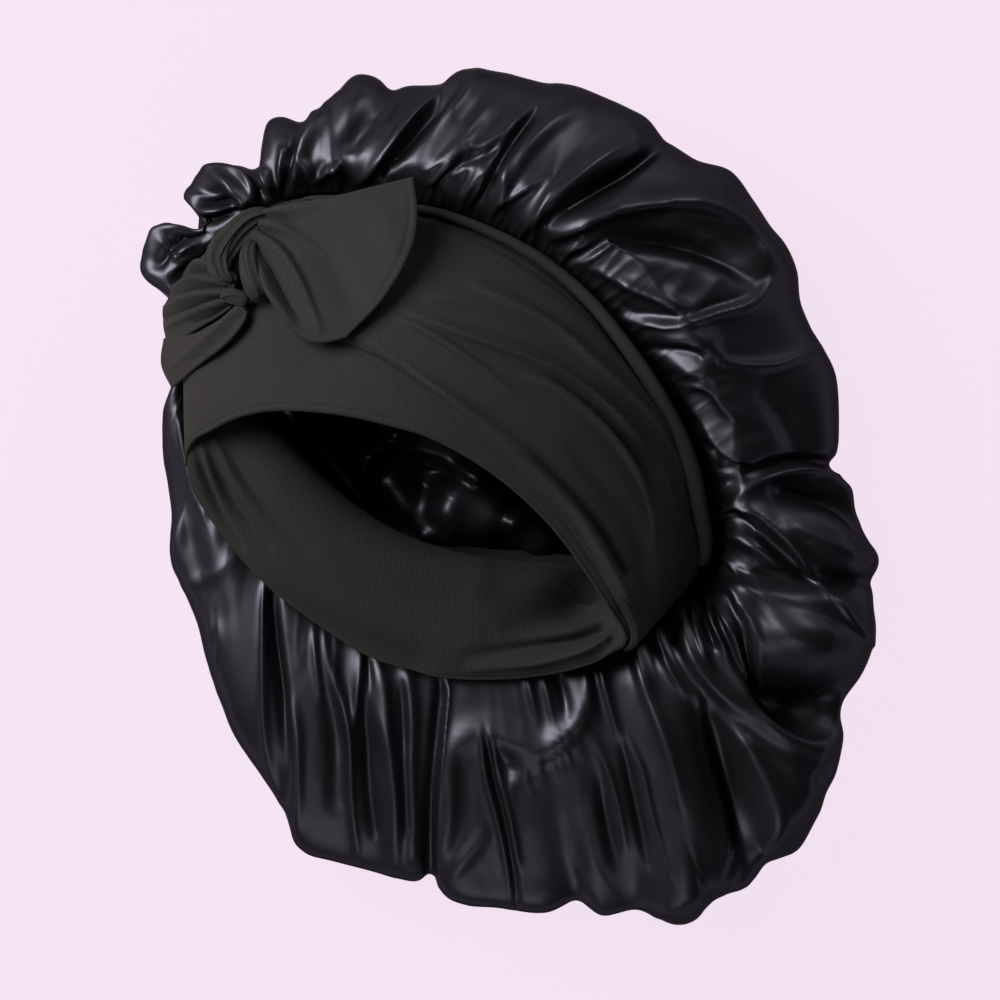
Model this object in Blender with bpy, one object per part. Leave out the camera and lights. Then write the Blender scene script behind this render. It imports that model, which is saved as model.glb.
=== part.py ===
"""Black satin sleep bonnet, lying on its crown with the mouth turned up and to one side.

A large gathered satin bag (the crown) is sewn to a wide knit head band. A tie of the same knit lies over
the band and is knotted at the upper left, with one large and one small free end.

Frame: +Z up, +X and +Y along the surface that it lies on, origin at the middle of its underside.
Sizes below are in millimetres and are turned to metres where the meshes are made.
"""

from collections import namedtuple

import bmesh
import bpy
import numpy as np

MM = 0.001

# ---------------------------------------------------------------- driving dimensions, in mm

SATIN_WALL = 1.5
KNIT_WALL = 2.5
TIE_WALL = 1.6
TAIL_WALL = 2.4
GAP = 0.5  # left between pieces that touch
SEAM_GAP = 1.3  # between the edges of band and crown, where they are sewn together
SEAM_ROLL_RADIUS = 2.7
UNDERSIDE_TUCK = 27.0  # how far inside its rim the crown leaves the surface that it lies on
UNDERSIDE_MIDDLE = (-12.0, -6.0)

CROWN_COLUMNS = 96
BAND_COLUMNS = 76
BAND_SHARES = (0.0, 0.09, 0.22, 0.42, 0.64, 0.84, 1.0)  # of the way from seam to hem
PUFF_START, PUFF_CREST = 0.03, 0.30  # shares of that way
PUFF_OVERHANG = 0.33  # share of the puff's height

# The bonnet has one section for each row here, taken anticlockwise round the mouth from the right end.
# Each runs from the band's free hem to its seam, from the seam over the crown's shoulder to its rim, and
# from there under to the middle of the underside.
#   turn, rim, rim_z        the rim's direction from the origin in degrees, its radius and its height
#   seam_x, seam_y, seam_z  where band and crown are sewn together
#   hem_x, hem_y, hem_z     the band's free edge
#   bulge                   how far the band arches up between its seam and its hem
#   shoulder, shoulder_z    the highest place of the crown: its share of the way from seam to rim, and height
#   puff                    how far the band is puffed up beside its seam, where it lies low under the mouth
Section = namedtuple(
    "Section",
    "turn rim rim_z seam_x seam_y seam_z hem_x hem_y hem_z bulge shoulder shoulder_z puff",
)
SECTIONS = [
    Section(0, 158, 32, 85, -4, 44, 42, -48, 86, 9, 0.30, 60, 0),
    Section(15, 157, 32, 80, 18, 52, 32, -33, 92, 10, 0.30, 68, 0),
    Section(30, 161, 32, 68, 43, 60, 21, -18, 98, 11, 0.30, 75, 0),
    Section(44, 172, 33, 52, 66, 65, 9, -5, 103, 12, 0.30, 80, 0),
    Section(57, 177, 34, 34, 87, 68, -5, 7, 107, 12, 0.30, 83, 0),
    Section(69, 182, 35, 15, 103, 70, -20, 17, 110, 12, 0.30, 85, 0),
    Section(81, 189, 35, -6, 115, 70, -36, 25, 112, 12, 0.30, 86, 0),
    Section(92, 194, 35, -28, 124, 69, -53, 30, 112, 12, 0.30, 85, 0),
    Section(103, 195, 35, -51, 129, 67, -71, 34, 111, 11, 0.32, 82, 0),
    Section(113, 198, 36, -77, 132, 64, -89, 36, 108, 10, 0.36, 77, 0),
    Section(123, 199, 37, -101, 130, 61, -105, 36, 104, 10, 0.42, 69, 0),
    Section(134, 201, 38, -124, 118, 57, -119, 33, 98, 10, 0.48, 61, 0),
    Section(146, 196, 38, -142, 101, 52, -130, 28, 91, 9, 0.48, 54, 1),
    Section(154, 176, 36, -145, 80, 48, -138, 24, 83, 8, 0.52, 53, 4),
    Section(164, 166, 34, -143, 65, 41, -142, 16, 75, 8, 0.52, 50, 12),
    Section(184, 159, 32, -134, 55, 32, -140, 0, 69, 9, 0.58, 49, 25),
    Section(206, 158, 31, -120, 48, 22, -128, -21, 64, 11, 0.60, 51, 32),
    Section(224, 169, 30, -102, 34, 16, -110, -42, 61, 12, 0.55, 51, 34),
    Section(239, 188, 30, -84, 12, 13, -88, -59, 59, 13, 0.47, 50, 32),
    Section(250, 184, 30, -64, -6, 12, -64, -73, 58, 13, 0.45, 49, 29),
    Section(261, 185, 30, -40, -19, 12, -39, -80, 58, 13, 0.42, 49, 25),
    Section(272, 190, 30, -14, -25, 12, -12, -82, 59, 13, 0.39, 50, 21),
    Section(283, 198, 30, 14, -27, 13, 15, -80, 61, 13, 0.37, 51, 16),
    Section(293, 208, 30, 41, -30, 15, 35, -75, 65, 12, 0.34, 53, 10),
    Section(303, 209, 30, 62, -33, 19, 46, -69, 69, 10, 0.31, 55, 4),
    Section(314, 205, 30, 77, -35, 24, 50, -64, 73, 9, 0.29, 57, 1),
    Section(328, 184, 31, 86, -28, 30, 49, -59, 77, 9, 0.28, 57, 0),
    Section(344, 172, 32, 88, -17, 37, 46, -54, 81, 9, 0.29, 58, 0),
]

# The crown's rows down each section: the stretch (seam to shoulder, shoulder to rim, rim to underside,
# underside to middle) and the share of it.
SHOULDER, RIM, UNDER, MIDDLE = range(4)
CROWN_ROWS = (
    [(SHOULDER, t) for t in (0.0, 0.28, 0.62, 1.0)]
    + [(RIM, t) for t in (0.22, 0.44, 0.64, 0.82, 1.0)]
    + [(UNDER, t) for t in (0.36, 0.70, 1.0)]
    + [(MIDDLE, t) for t in (0.38, 0.70)]
)

# The crown's main folds, seen from above: each follows start, middle, end, stands height proud of the
# crown (or is that deep, if negative) and has this half width.
Fold = namedtuple("Fold", "start middle end width height")
FOLDS = [
    Fold((22, 132), (42, 143), (66, 156), 9, -10),  # valley above the mouth, to the right
    Fold((42, 123), (66, 127), (98, 122), 10, 9),  # lip of the upper right pocket
    Fold((98, 122), (120, 108), (133, 88), 9, 6),
    Fold((51, 76), (85, 77), (113, 87), 7, 5),
    Fold((103, 9), (125, 12), (152, 10), 8, -9),  # valley to the right edge
    Fold((105, -5), (129, -28), (154, -60), 7, 6),  # ridge of the right lobe
    Fold((80, -46), (92, -88), (120, -106), 9, 8),  # lip of the lower right pocket
    Fold((120, -106), (138, -110), (156, -106), 9, 7),
    Fold((82, -92), (91, -120), (101, -164), 9, -8),
    Fold((52, -84), (57, -120), (62, -168), 9, 5),
    Fold((36, -100), (40, -130), (52, -180), 7, -6),
    Fold((32, -111), (18, -120), (3, -132), 8, -6),  # the Y fold at the bottom
    Fold((-12, -108), (-2, -134), (4, -184), 8, -7),
    Fold((-30, -88), (-33, -130), (-37, -178), 7, -8),
    Fold((-51, -88), (-50, -125), (-49, -165), 8, 4),
    Fold((-83, -74), (-74, -118), (-67, -152), 8, 5),
    Fold((-101, -62), (-102, -95), (-98, -150), 7, -7),
    Fold((-111, -52), (-110, -91), (-109, -132), 8, 5),
    Fold((-150, -42), (-136, -37), (-124, -33), 6, -4),
    Fold((-64, 141), (-46, 162), (-26, 186), 7, 4),  # the sharp folds above the large tail
    Fold((-42, 143), (-24, 158), (-4, 176), 7, -6),
    Fold((-22, 131), (-12, 148), (4, 168), 7, 5),
    Fold((-92, 178), (-88, 164), (-82, 146), 8, -8),  # valleys between the upper left ruffles
    Fold((-122, 158), (-113, 146), (-103, 136), 8, -8),
    Fold((-150, 132), (-138, 125), (-126, 120), 8, -7),
]

# Puffs and pockets of the crown, and the crumpled satin that shows through the mouth.
Puff = namedtuple("Puff", "x y length width turn height")
PUFFS = [
    Puff(86, 103, 30, 13, -6, -11),  # the upper right pocket
    Puff(128, -86, 22, 18, 25, -15),  # the lower right pocket
    Puff(130, -30, 28, 24, -40, 6),  # the right lobe
    Puff(122, 45, 26, 30, 0, 4),
    Puff(-138, 110, 16, 12, 40, 5),  # the upper left ruffles
    Puff(-118, 134, 16, 11, 50, 5),
    Puff(-92, 156, 17, 12, 60, 5),
    Puff(14, 170, 34, 16, -15, 5),
    Puff(10, -158, 16, 24, 0, 5),
    Puff(-14, -158, 12, 24, 0, 5),
    Puff(76, -150, 14, 26, -20, 5),
]
CRUMPLES = [
    Puff(-26, 0, 17, 13, 20, 19),
    Puff(-60, 18, 20, 10, -35, 16),
    Puff(6, -12, 13, 11, 0, 15),
    Puff(-92, 34, 14, 12, 0, 12),
    Puff(-24, 40, 28, 12, 10, 14),
]
GATHER_DEPTH = 1.3  # of the tight gathers beside the seam
GATHER_ROOM = 30.0  # from seam to shoulder: where there is less, the gathers are shallower
GATHERED_ROWS = ((1, 0.8), (2, 0.9), (3, 0.4))  # row of CROWN_ROWS, and the share of the depth there

# The ties lie on the band. They are given in section numbers, counted from the right end of the mouth, and
# shares of the band's width, counted from its seam.
Wrap = namedtuple("Wrap", "section low high lift")
WRAP_RIGHT = [
    Wrap(9.9, 0.20, 0.50, 0.8),
    Wrap(9.0, 0.10, 0.66, 0.5),
    Wrap(8.0, 0.075, 0.70, 0.2),
    Wrap(7.0, 0.07, 0.76, 0.0),
    Wrap(6.0, 0.07, 0.84, 0.0),
    Wrap(5.0, 0.07, 0.89, 0.0),
    Wrap(3.5, 0.075, 0.91, 0.0),
    Wrap(2.0, 0.08, 0.92, 0.0),
    Wrap(0.5, 0.095, 0.93, 0.0),
    Wrap(-1.0, 0.11, 0.90, 0.0),
]
WRAP_RIDGES = (0.26, 0.42, 0.60)  # shares of the wrap's width where it is folded
WRAP_RIDGE_HEIGHT = 1.2
WRAP_RIDGE_WIDTH = 0.07  # share of the wrap's width
ROLL_SECTIONS = (-1.6, 9.6)  # the sections between which the seam roll lies

# The free ends and the left fan are leaves, each between four edges that run from one corner to the next.
TAIL_LARGE_UPPER = [(-103, 126.5, 85.5), (-90, 128, 88), (-73, 131, 92), (-56, 135, 94), (-42, 138, 96)]
TAIL_LARGE_END = [(-42, 138, 96), (-40, 121, 103), (-43, 104, 109), (-54, 84, 114), (-70, 67, 115)]
TAIL_LARGE_LOWER = [(-104, 91, 100), (-100, 79, 106), (-92, 69, 110), (-82, 65, 113), (-70, 67, 115)]
TAIL_LARGE_NECK = [(-103, 126.5, 85.5), (-108, 115, 89.5), (-107.5, 103, 95), (-104, 91, 100)]
TAIL_SMALL_UPPER = [(-121, 81, 94), (-126, 77, 92), (-136, 70, 85), (-148, 66, 70)]
TAIL_SMALL_END = [(-148, 66, 70), (-152, 57, 66), (-150, 47, 72)]
TAIL_SMALL_LOWER = [(-113, 78, 98), (-118, 71, 99), (-129, 61, 94), (-140, 53, 86), (-150, 47, 72)]
TAIL_SMALL_NECK = [(-121, 81, 94), (-117, 79.5, 97), (-113, 78, 98)]
FAN_UPPER = [(-130, 93, 79), (-137, 98, 71), (-144, 97, 64), (-151, 90, 58.5)]
FAN_END = [(-151, 90, 58.5), (-155, 81, 57.5), (-153, 71, 62.5)]
FAN_LOWER = [(-127.5, 84.5, 84), (-134, 76.5, 83.5), (-142, 71.5, 78), (-153, 71, 62.5)]
FAN_NECK = [(-130, 93, 79), (-129.5, 89, 82), (-127.5, 84.5, 84)]

# Each leaf's folds start at a share of its neck and spread from its middle line towards its end.
LeafFold = namedtuple("LeafFold", "place spread width height")
TAIL_LARGE_FOLDS = [LeafFold(0.62, 0.3, 0.10, 3.0), LeafFold(0.38, 0.2, 0.10, -2.0)]
TAIL_SMALL_FOLDS = [LeafFold(0.5, 0.2, 0.22, 2.0)]
FAN_FOLDS = [LeafFold(0.25, 0.3, 0.12, 1.6), LeafFold(0.75, 0.3, 0.12, 1.6)]
LEAF_FOLD_START = 0.25  # share of the leaf's length over which a fold rises from the neck
LEAF_FOLD_LOSS = 0.7  # share of a fold's height that it has lost at the end

# The knot's bundles: points along the middle, with the half width and half height there.
Bundle = namedtuple("Bundle", "x y z half_width half_height")
KNOT_EAR = [
    Bundle(-104, 124, 77, 5.0, 4.5),
    Bundle(-114, 120, 80, 6.0, 5.5),
    Bundle(-122.5, 112, 81, 6.5, 6.0),
    Bundle(-127, 104, 82, 6.5, 6.0),
    Bundle(-125.5, 96.5, 86, 4.5, 4.5),
    Bundle(-121, 92.5, 89, 3.2, 3.2),
]
KNOT_LOOP = [
    Bundle(-112, 111, 82, 3.2, 3.0),
    Bundle(-113.5, 106, 88, 4.0, 4.0),
    Bundle(-113, 99, 94, 4.4, 4.4),
    Bundle(-111, 91, 98, 4.2, 4.0),
    Bundle(-108, 85, 99, 3.4, 3.0),
]
KNOT_BAR = [
    Bundle(-125.5, 87.5, 90, 2.4, 2.6),
    Bundle(-120.5, 86.5, 94, 3.2, 3.4),
    Bundle(-116, 85, 96, 3.2, 3.4),
    Bundle(-113.3, 83.5, 96, 2.6, 2.6),
]

SATIN_BLACK = (0.0045, 0.0048, 0.0065, 1.0)
KNIT_BLACK = (0.0100, 0.0100, 0.0095, 1.0)


# ---------------------------------------------------------------- curves and surfaces


def around(values, u):
    """The closed curve through a row of values for each section, at section numbers u."""
    values = np.asarray(values, float)
    u = np.asarray(u, float)
    first = np.floor(u).astype(int)
    t = (u - first)[..., None] if values.ndim == 2 else u - first
    a, b, c, d = (values[(first + step) % len(values)] for step in (-1, 0, 1, 2))
    return b + 0.5 * t * (c - a + t * (2 * a - 5 * b + 4 * c - d + t * (3 * (b - c) + d - a)))


def along(points, t):
    """The open curve through points, at shares t of the way along it."""
    points = np.asarray(points, float)
    before = 2 * points[0] - points[1]
    after = 2 * points[-1] - points[-2]
    row = np.vstack([before, points, after])
    place = np.clip(np.asarray(t, float), 0, 1) * (len(points) - 1)
    first = np.minimum(place.astype(int), len(points) - 2)
    s = (place - first)[..., None]
    a, b, c, d = (row[first + step] for step in range(4))
    return b + 0.5 * s * (c - a + s * (2 * a - 5 * b + 4 * c - d + s * (3 * (b - c) + d - a)))


def unit(vectors):
    return vectors / np.maximum(np.linalg.norm(vectors, axis=-1, keepdims=True), 1e-9)


def ease(t):
    return t * t * (3 - 2 * t)


def grid_normals(grid, closed):
    """Normals of a grid of points; its first index runs round, and is closed or open."""
    if closed:
        across = np.roll(grid, -1, axis=0) - np.roll(grid, 1, axis=0)
    else:
        across = np.gradient(grid, axis=0)
    return unit(np.cross(across, np.gradient(grid, axis=1)))


def section_points(x_name, y_name, z_name, u):
    columns = [[getattr(row, name) for name in (x_name, y_name, z_name)] for row in SECTIONS]
    return around(columns, u)


def seam(u):
    return section_points("seam_x", "seam_y", "seam_z", u)


def hem(u):
    return section_points("hem_x", "hem_y", "hem_z", u)


def rim(u):
    turns = np.radians([row.turn for row in SECTIONS])
    radii = np.array([row.rim for row in SECTIONS], float)
    heights = np.array([row.rim_z for row in SECTIONS], float)
    return around(np.stack([radii * np.cos(turns), radii * np.sin(turns), heights], axis=1), u)


def column(name, u):
    return around([getattr(row, name) for row in SECTIONS], u)


def band_middle(u, v):
    """The middle of the band's wall at section number u and share v of the way from seam to hem."""
    u, v = np.broadcast_arrays(np.asarray(u, float), np.asarray(v, float))
    v = v[..., None]
    arch = 4 * v * (1 - v) * column("bulge", u)[..., None] * np.array([0, 0, 1.0])
    puffed = np.clip((v - PUFF_START) / (PUFF_CREST - PUFF_START), 0, 1)
    rise = ease(puffed) * (1 - v) / (1 - PUFF_CREST) * np.array([0, 0, 1.0])
    over = PUFF_OVERHANG * np.sin(np.pi * np.clip((v - 0.06) / 0.34, 0, 1)) ** 2
    to_mouth = unit((seam(u) - hem(u)) * np.array([1.0, 1.0, 0]))
    return seam(u) * (1 - v) + hem(u) * v + arch + column("puff", u)[..., None] * (rise + over * to_mouth)


def band_normal(u, v):
    """Points out of the band's outer face, which looks up at the top of the mouth."""
    step = 0.02
    across = band_middle(u + step, v) - band_middle(u - step, v)
    up = band_middle(u, v + step) - band_middle(u, v - step)
    return unit(np.cross(across, up))


def fold_relief(x, y):
    """Height of the crown's folds, puffs and pockets at places seen from above."""
    total = np.zeros_like(x)
    here = np.stack([x, y], axis=-1)
    for fold in FOLDS:
        nearest = np.full(x.shape, np.inf)
        for start, end in ((fold.start, fold.middle), (fold.middle, fold.end)):
            start, end = np.array(start, float), np.array(end, float)
            run = end - start
            share = np.clip((here - start) @ run / (run @ run), 0, 1)
            nearest = np.minimum(nearest, np.linalg.norm(here - start - share[..., None] * run, axis=-1))
        total += fold.height * np.exp(-((nearest / fold.width) ** 2))
    return total + puff_relief(PUFFS, x, y)


def puff_relief(puffs, x, y):
    total = np.zeros_like(x)
    for puff in puffs:
        cosine, sine = np.cos(np.radians(puff.turn)), np.sin(np.radians(puff.turn))
        long_way = (x - puff.x) * cosine + (y - puff.y) * sine
        short_way = (y - puff.y) * cosine - (x - puff.x) * sine
        total += puff.height * np.exp(-((long_way / puff.length) ** 2) - (short_way / puff.width) ** 2)
    return total


def outward_normals(grid):
    """Normals of the crown's rows of points that point out of the bag all round its rim."""
    normals = grid_normals(grid, True)
    rim_row = CROWN_ROWS.index((RIM, 1.0))
    return normals * np.sign(np.sum(normals[:, rim_row, :2] * grid[:, rim_row, :2]))


def crown_start(u, shoulder_at):
    """Where the satin starts beside the seam, clear of the band's edge however sharply it turns back."""
    to_band = unit(band_middle(u, 0.04) - seam(u))
    rise = column("shoulder_z", u) - seam(u)[:, 2]
    slope = shoulder_at - seam(u)
    slope[:, 2] = rise * np.pi / 2
    to_crown = unit(slope)
    turned_back = (1 + np.sum(to_band * to_crown, axis=1)) / 2
    clearance = SEAM_GAP + turned_back * (KNIT_WALL + SATIN_WALL) / 2
    return unit(to_crown - to_band) * clearance[:, None]


def crown_outside():
    """The outer face of the satin, a closed row of sections by the rows of CROWN_ROWS."""
    u = np.arange(CROWN_COLUMNS) * len(SECTIONS) / CROWN_COLUMNS
    start, edge = seam(u), rim(u)
    share = column("shoulder", u)[:, None]
    top = start + (edge - start) * share
    top[:, 2] = column("shoulder_z", u)
    offset = crown_start(u, top)
    tuck = 1 - UNDERSIDE_TUCK / np.linalg.norm(edge[:, :2], axis=1, keepdims=True)
    under = np.hstack([edge[:, :2] * tuck, np.zeros((len(u), 1))])
    middle = np.array([*UNDERSIDE_MIDDLE, 0.0])
    rows, folded = [], []
    for stretch, t in CROWN_ROWS:
        if stretch == SHOULDER:
            point = start + (top - start) * t
            point[:, 2] = start[:, 2] + (top[:, 2] - start[:, 2]) * np.sin(t * np.pi / 2)
            point += offset * (1 - t)
            folded.append(ease(t))
        elif stretch == RIM:
            point = top + (edge - top) * np.sin(t * np.pi / 2)
            point[:, 2] = edge[:, 2] + (top[:, 2] - edge[:, 2]) * np.cos(t * np.pi / 2)
            folded.append(1.0 - 0.25 * t)
        elif stretch == UNDER:
            point = edge + (under - edge) * (1 - np.cos(t * np.pi / 2))
            point[:, 2] = edge[:, 2] * (1 - np.sin(t * np.pi / 2))
            folded.append(0.75 * (1 - ease(t)))
        else:
            point = under + (middle - under) * t
            point[:, 2] = puff_relief(CRUMPLES, point[:, 0], point[:, 1])
            folded.append(0.0)
        rows.append(point)
    grid = np.stack(rows, axis=1)
    relief = fold_relief(grid[..., 0], grid[..., 1]) * np.array(folded)
    grid = grid + outward_normals(grid) * relief[..., None]
    room = np.clip(np.linalg.norm(top - start, axis=1) / GATHER_ROOM, 0, 1)
    zigzag = np.where(np.arange(CROWN_COLUMNS) % 2, 1.0, -1.0) * GATHER_DEPTH * room**2
    normals = outward_normals(grid)
    for row, weight in GATHERED_ROWS:
        grid[:, row] += normals[:, row] * (zigzag * weight)[:, None]
    return grid


# ---------------------------------------------------------------- meshes


def material(name, colour, roughness):
    made = bpy.data.materials.new(name)
    made.use_nodes = True
    shader = made.node_tree.nodes["Principled BSDF"]
    shader.inputs["Base Color"].default_value = colour
    shader.inputs["Roughness"].default_value = roughness
    shader.inputs["Metallic"].default_value = 0.0
    made.diffuse_color = colour
    return made


def add_piece(name, vertices, faces, finish):
    """One closed mesh object, with its faces turned outwards and shaded smooth."""
    mesh = bpy.data.meshes.new(name)
    mesh.from_pydata([tuple(v) for v in np.asarray(vertices) * MM], [], faces)
    work = bmesh.new()
    work.from_mesh(mesh)
    bmesh.ops.triangulate(work, faces=work.faces)
    bmesh.ops.recalc_face_normals(work, faces=work.faces)
    work.to_mesh(mesh)
    work.free()
    mesh.shade_smooth()
    mesh.materials.append(finish)
    piece = bpy.data.objects.new(name, mesh)
    bpy.context.collection.objects.link(piece)
    return piece


def wall_piece(name, outer, inner, closed, finish, poles=None):
    """A wall between two grids of points. Its ends are closed by poles where they are given."""
    count, rows = outer.shape[:2]
    vertices = np.concatenate([outer.reshape(-1, 3), inner.reshape(-1, 3)])
    faces = []

    def at(side, i, j):
        return side * count * rows + (i % count) * rows + j

    for i in range(count if closed else count - 1):
        for j in range(rows - 1):
            for side in (0, 1):
                faces.append([at(side, i, j), at(side, i + 1, j), at(side, i + 1, j + 1), at(side, i, j + 1)])
        for j in (0,) if poles is not None else (0, rows - 1):
            faces.append([at(0, i, j), at(0, i + 1, j), at(1, i + 1, j), at(1, i, j)])
    if not closed:
        for i in (0, count - 1):
            for j in range(rows - 1):
                faces.append([at(0, i, j), at(0, i, j + 1), at(1, i, j + 1), at(1, i, j)])
    if poles is not None:
        for side, pole in enumerate(poles):
            vertices = np.vstack([vertices, pole])
            tip = len(vertices) - 1
            faces += [[at(side, i, rows - 1), at(side, i + 1, rows - 1), tip] for i in range(count)]
    return add_piece(name, vertices, faces, finish)


def bundle_piece(name, bundle, sides, rings, pleats, depth, finish):
    """A gathered bundle of cloth: an oval tube with pleats along it and rounded, closed ends."""
    t = np.linspace(0, 1, rings)
    path = along(bundle, t)
    middle, half = path[:, :3], path[:, 3:]
    forward = unit(np.gradient(middle, axis=0))
    side = unit(np.cross(forward, np.array([0, 0, 1.0])))
    up = np.cross(side, forward)
    taper = np.sqrt(np.clip(1 - np.abs(2 * t - 1) ** 6, 0.12, 1))
    angle = np.linspace(0, 2 * np.pi, sides, endpoint=False)
    swell = 1 + depth * np.cos(pleats * angle)
    across = np.cos(angle) * swell * (half[:, :1] * taper[:, None])
    above = np.sin(angle) * swell * (half[:, 1:] * taper[:, None])
    points = middle[:, None] + side[:, None] * across[..., None] + up[:, None] * above[..., None]
    vertices = points.reshape(-1, 3).tolist()
    faces = []
    for i in range(rings - 1):
        for j in range(sides):
            k = (j + 1) % sides
            faces.append([i * sides + j, i * sides + k, (i + 1) * sides + k, (i + 1) * sides + j])
    for i in (0, rings - 1):
        faces.append([i * sides + j for j in range(sides)])
    return add_piece(name, vertices, faces, finish)


def leaf_grid(upper, end, lower, neck, length_points, width_points):
    """A surface between four edges: from the neck along the upper and lower edges to the end."""
    s = np.linspace(0, 1, length_points)[:, None, None]
    t = np.linspace(0, 1, width_points)[None, :, None]
    top, bottom = along(upper, s[:, 0, 0])[:, None], along(lower, s[:, 0, 0])[:, None]
    near, far = along(neck, t[0, :, 0])[None], along(end, t[0, :, 0])[None]
    corners = (
        (1 - s) * (1 - t) * top[:1]
        + (1 - s) * t * bottom[:1]
        + s * (1 - t) * top[-1:]
        + s * t * bottom[-1:]
    )
    return top * (1 - t) + bottom * t + near * (1 - s) + far * s - corners, s[..., 0], t[..., 0]


def leaf_piece(name, edges, size, folds, finish):
    """A tie end: the leaf with folds that run along it and die out towards its end."""
    grid, s, t = leaf_grid(*edges, *size)
    relief = np.zeros(np.broadcast_shapes(s.shape, t.shape))
    fading = np.clip(s / LEAF_FOLD_START, 0, 1) * (1 - LEAF_FOLD_LOSS * s)
    for fold in folds:
        middle = 0.5 + (fold.place - 0.5) * (1 + fold.spread * s)
        relief = relief + fold.height * np.exp(-(((t - middle) / fold.width) ** 2)) * fading
    normals = grid_normals(grid, False)
    normals *= np.sign(normals[..., 2:])
    grid = grid + normals * relief[..., None]
    normals = grid_normals(grid, False)
    normals *= np.sign(normals[..., 2:])
    offset = normals * TAIL_WALL / 2
    return wall_piece(name, grid + offset, grid - offset, False, finish)


# ---------------------------------------------------------------- the pieces


def make_crown(finish):
    outer = crown_outside()
    inner = outer - outward_normals(outer) * SATIN_WALL
    middle = np.array([*UNDERSIDE_MIDDLE, 0.0])
    middle[2] = puff_relief(CRUMPLES, middle[0:1], middle[1:2])[0]
    wall_piece("crown", outer, inner, True, finish, [middle, middle + [0, 0, SATIN_WALL]])


def make_band(finish):
    u = np.arange(BAND_COLUMNS)[:, None] * len(SECTIONS) / BAND_COLUMNS
    v = np.array(BAND_SHARES)[None, :]
    middle = band_middle(u, v)
    offset = band_normal(u, v) * KNIT_WALL / 2
    wall_piece("band", middle + offset, middle - offset, True, finish)


def make_seam_roll(finish):
    """Lies in the groove between the band's outer face and the satin that rises beside it."""
    u = np.linspace(*ROLL_SECTIONS, 54)
    top = seam(u) + (rim(u) - seam(u)) * column("shoulder", u)[:, None]
    to_crown = top - seam(u)
    to_crown[:, 2] = (column("shoulder_z", u) - seam(u)[:, 2]) * np.pi / 2
    to_crown = unit(to_crown)
    to_band = unit(band_middle(u, 0.08) - seam(u))
    half_angle = np.arccos(np.clip(np.sum(to_band * to_crown, axis=1), -1, 1)) / 2
    away = (SEAM_ROLL_RADIUS + GAP + KNIT_WALL / 2 + GATHER_DEPTH / 2) / np.maximum(np.sin(half_angle), 0.35)
    middle = seam(u) + unit(to_band + to_crown) * away[:, None]
    bundle = np.hstack([middle, np.full((len(u), 2), SEAM_ROLL_RADIUS)])
    bundle_piece("seam_roll", bundle, 6, len(u), 0, 0.0, finish)


def make_wrap_right(finish):
    s = np.linspace(0, 1, 34)
    rows = along(WRAP_RIGHT, s)
    t = np.linspace(0, 1, 8)
    u = rows[:, :1] + 0 * t
    v = rows[:, 1:2] + (rows[:, 2:3] - rows[:, 1:2]) * t
    fading = np.sin(np.pi * np.clip(s, 0.02, 0.98))[:, None]
    ridges = sum(np.exp(-(((t - ridge) / WRAP_RIDGE_WIDTH) ** 2)) for ridge in WRAP_RIDGES)
    lift = KNIT_WALL / 2 + GAP + TIE_WALL / 2 + rows[:, 3:4] + WRAP_RIDGE_HEIGHT * ridges * fading
    middle = band_middle(u, v) + band_normal(u, v) * lift[..., None]
    normals = grid_normals(middle, False)
    normals *= np.sign(np.sum(normals * band_normal(u, v), axis=-1, keepdims=True))
    offset = normals * TIE_WALL / 2
    wall_piece("wrap_right", middle + offset, middle - offset, False, finish)


def make_ties(finish):
    large = (TAIL_LARGE_UPPER, TAIL_LARGE_END, TAIL_LARGE_LOWER, TAIL_LARGE_NECK)
    small = (TAIL_SMALL_UPPER, TAIL_SMALL_END, TAIL_SMALL_LOWER, TAIL_SMALL_NECK)
    fan = (FAN_UPPER, FAN_END, FAN_LOWER, FAN_NECK)
    leaf_piece("tail_large", large, (13, 11), TAIL_LARGE_FOLDS, finish)
    leaf_piece("tail_small", small, (9, 6), TAIL_SMALL_FOLDS, finish)
    leaf_piece("wrap_left", fan, (9, 9), FAN_FOLDS, finish)
    bundle_piece("knot_ear", KNOT_EAR, 14, 9, 7, 0.10, finish)
    bundle_piece("knot", KNOT_LOOP, 12, 11, 6, 0.08, finish)
    bundle_piece("knot_bar", KNOT_BAR, 10, 7, 5, 0.08, finish)


for old in list(bpy.data.objects):
    bpy.data.objects.remove(old, do_unlink=True)

satin = material("satin_black", SATIN_BLACK, 0.35)
knit = material("knit_black", KNIT_BLACK, 0.85)
make_crown(satin)
make_band(knit)
make_seam_roll(knit)
make_wrap_right(knit)
make_ties(knit)
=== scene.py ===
from collections import namedtuple
from functools import partial

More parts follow.
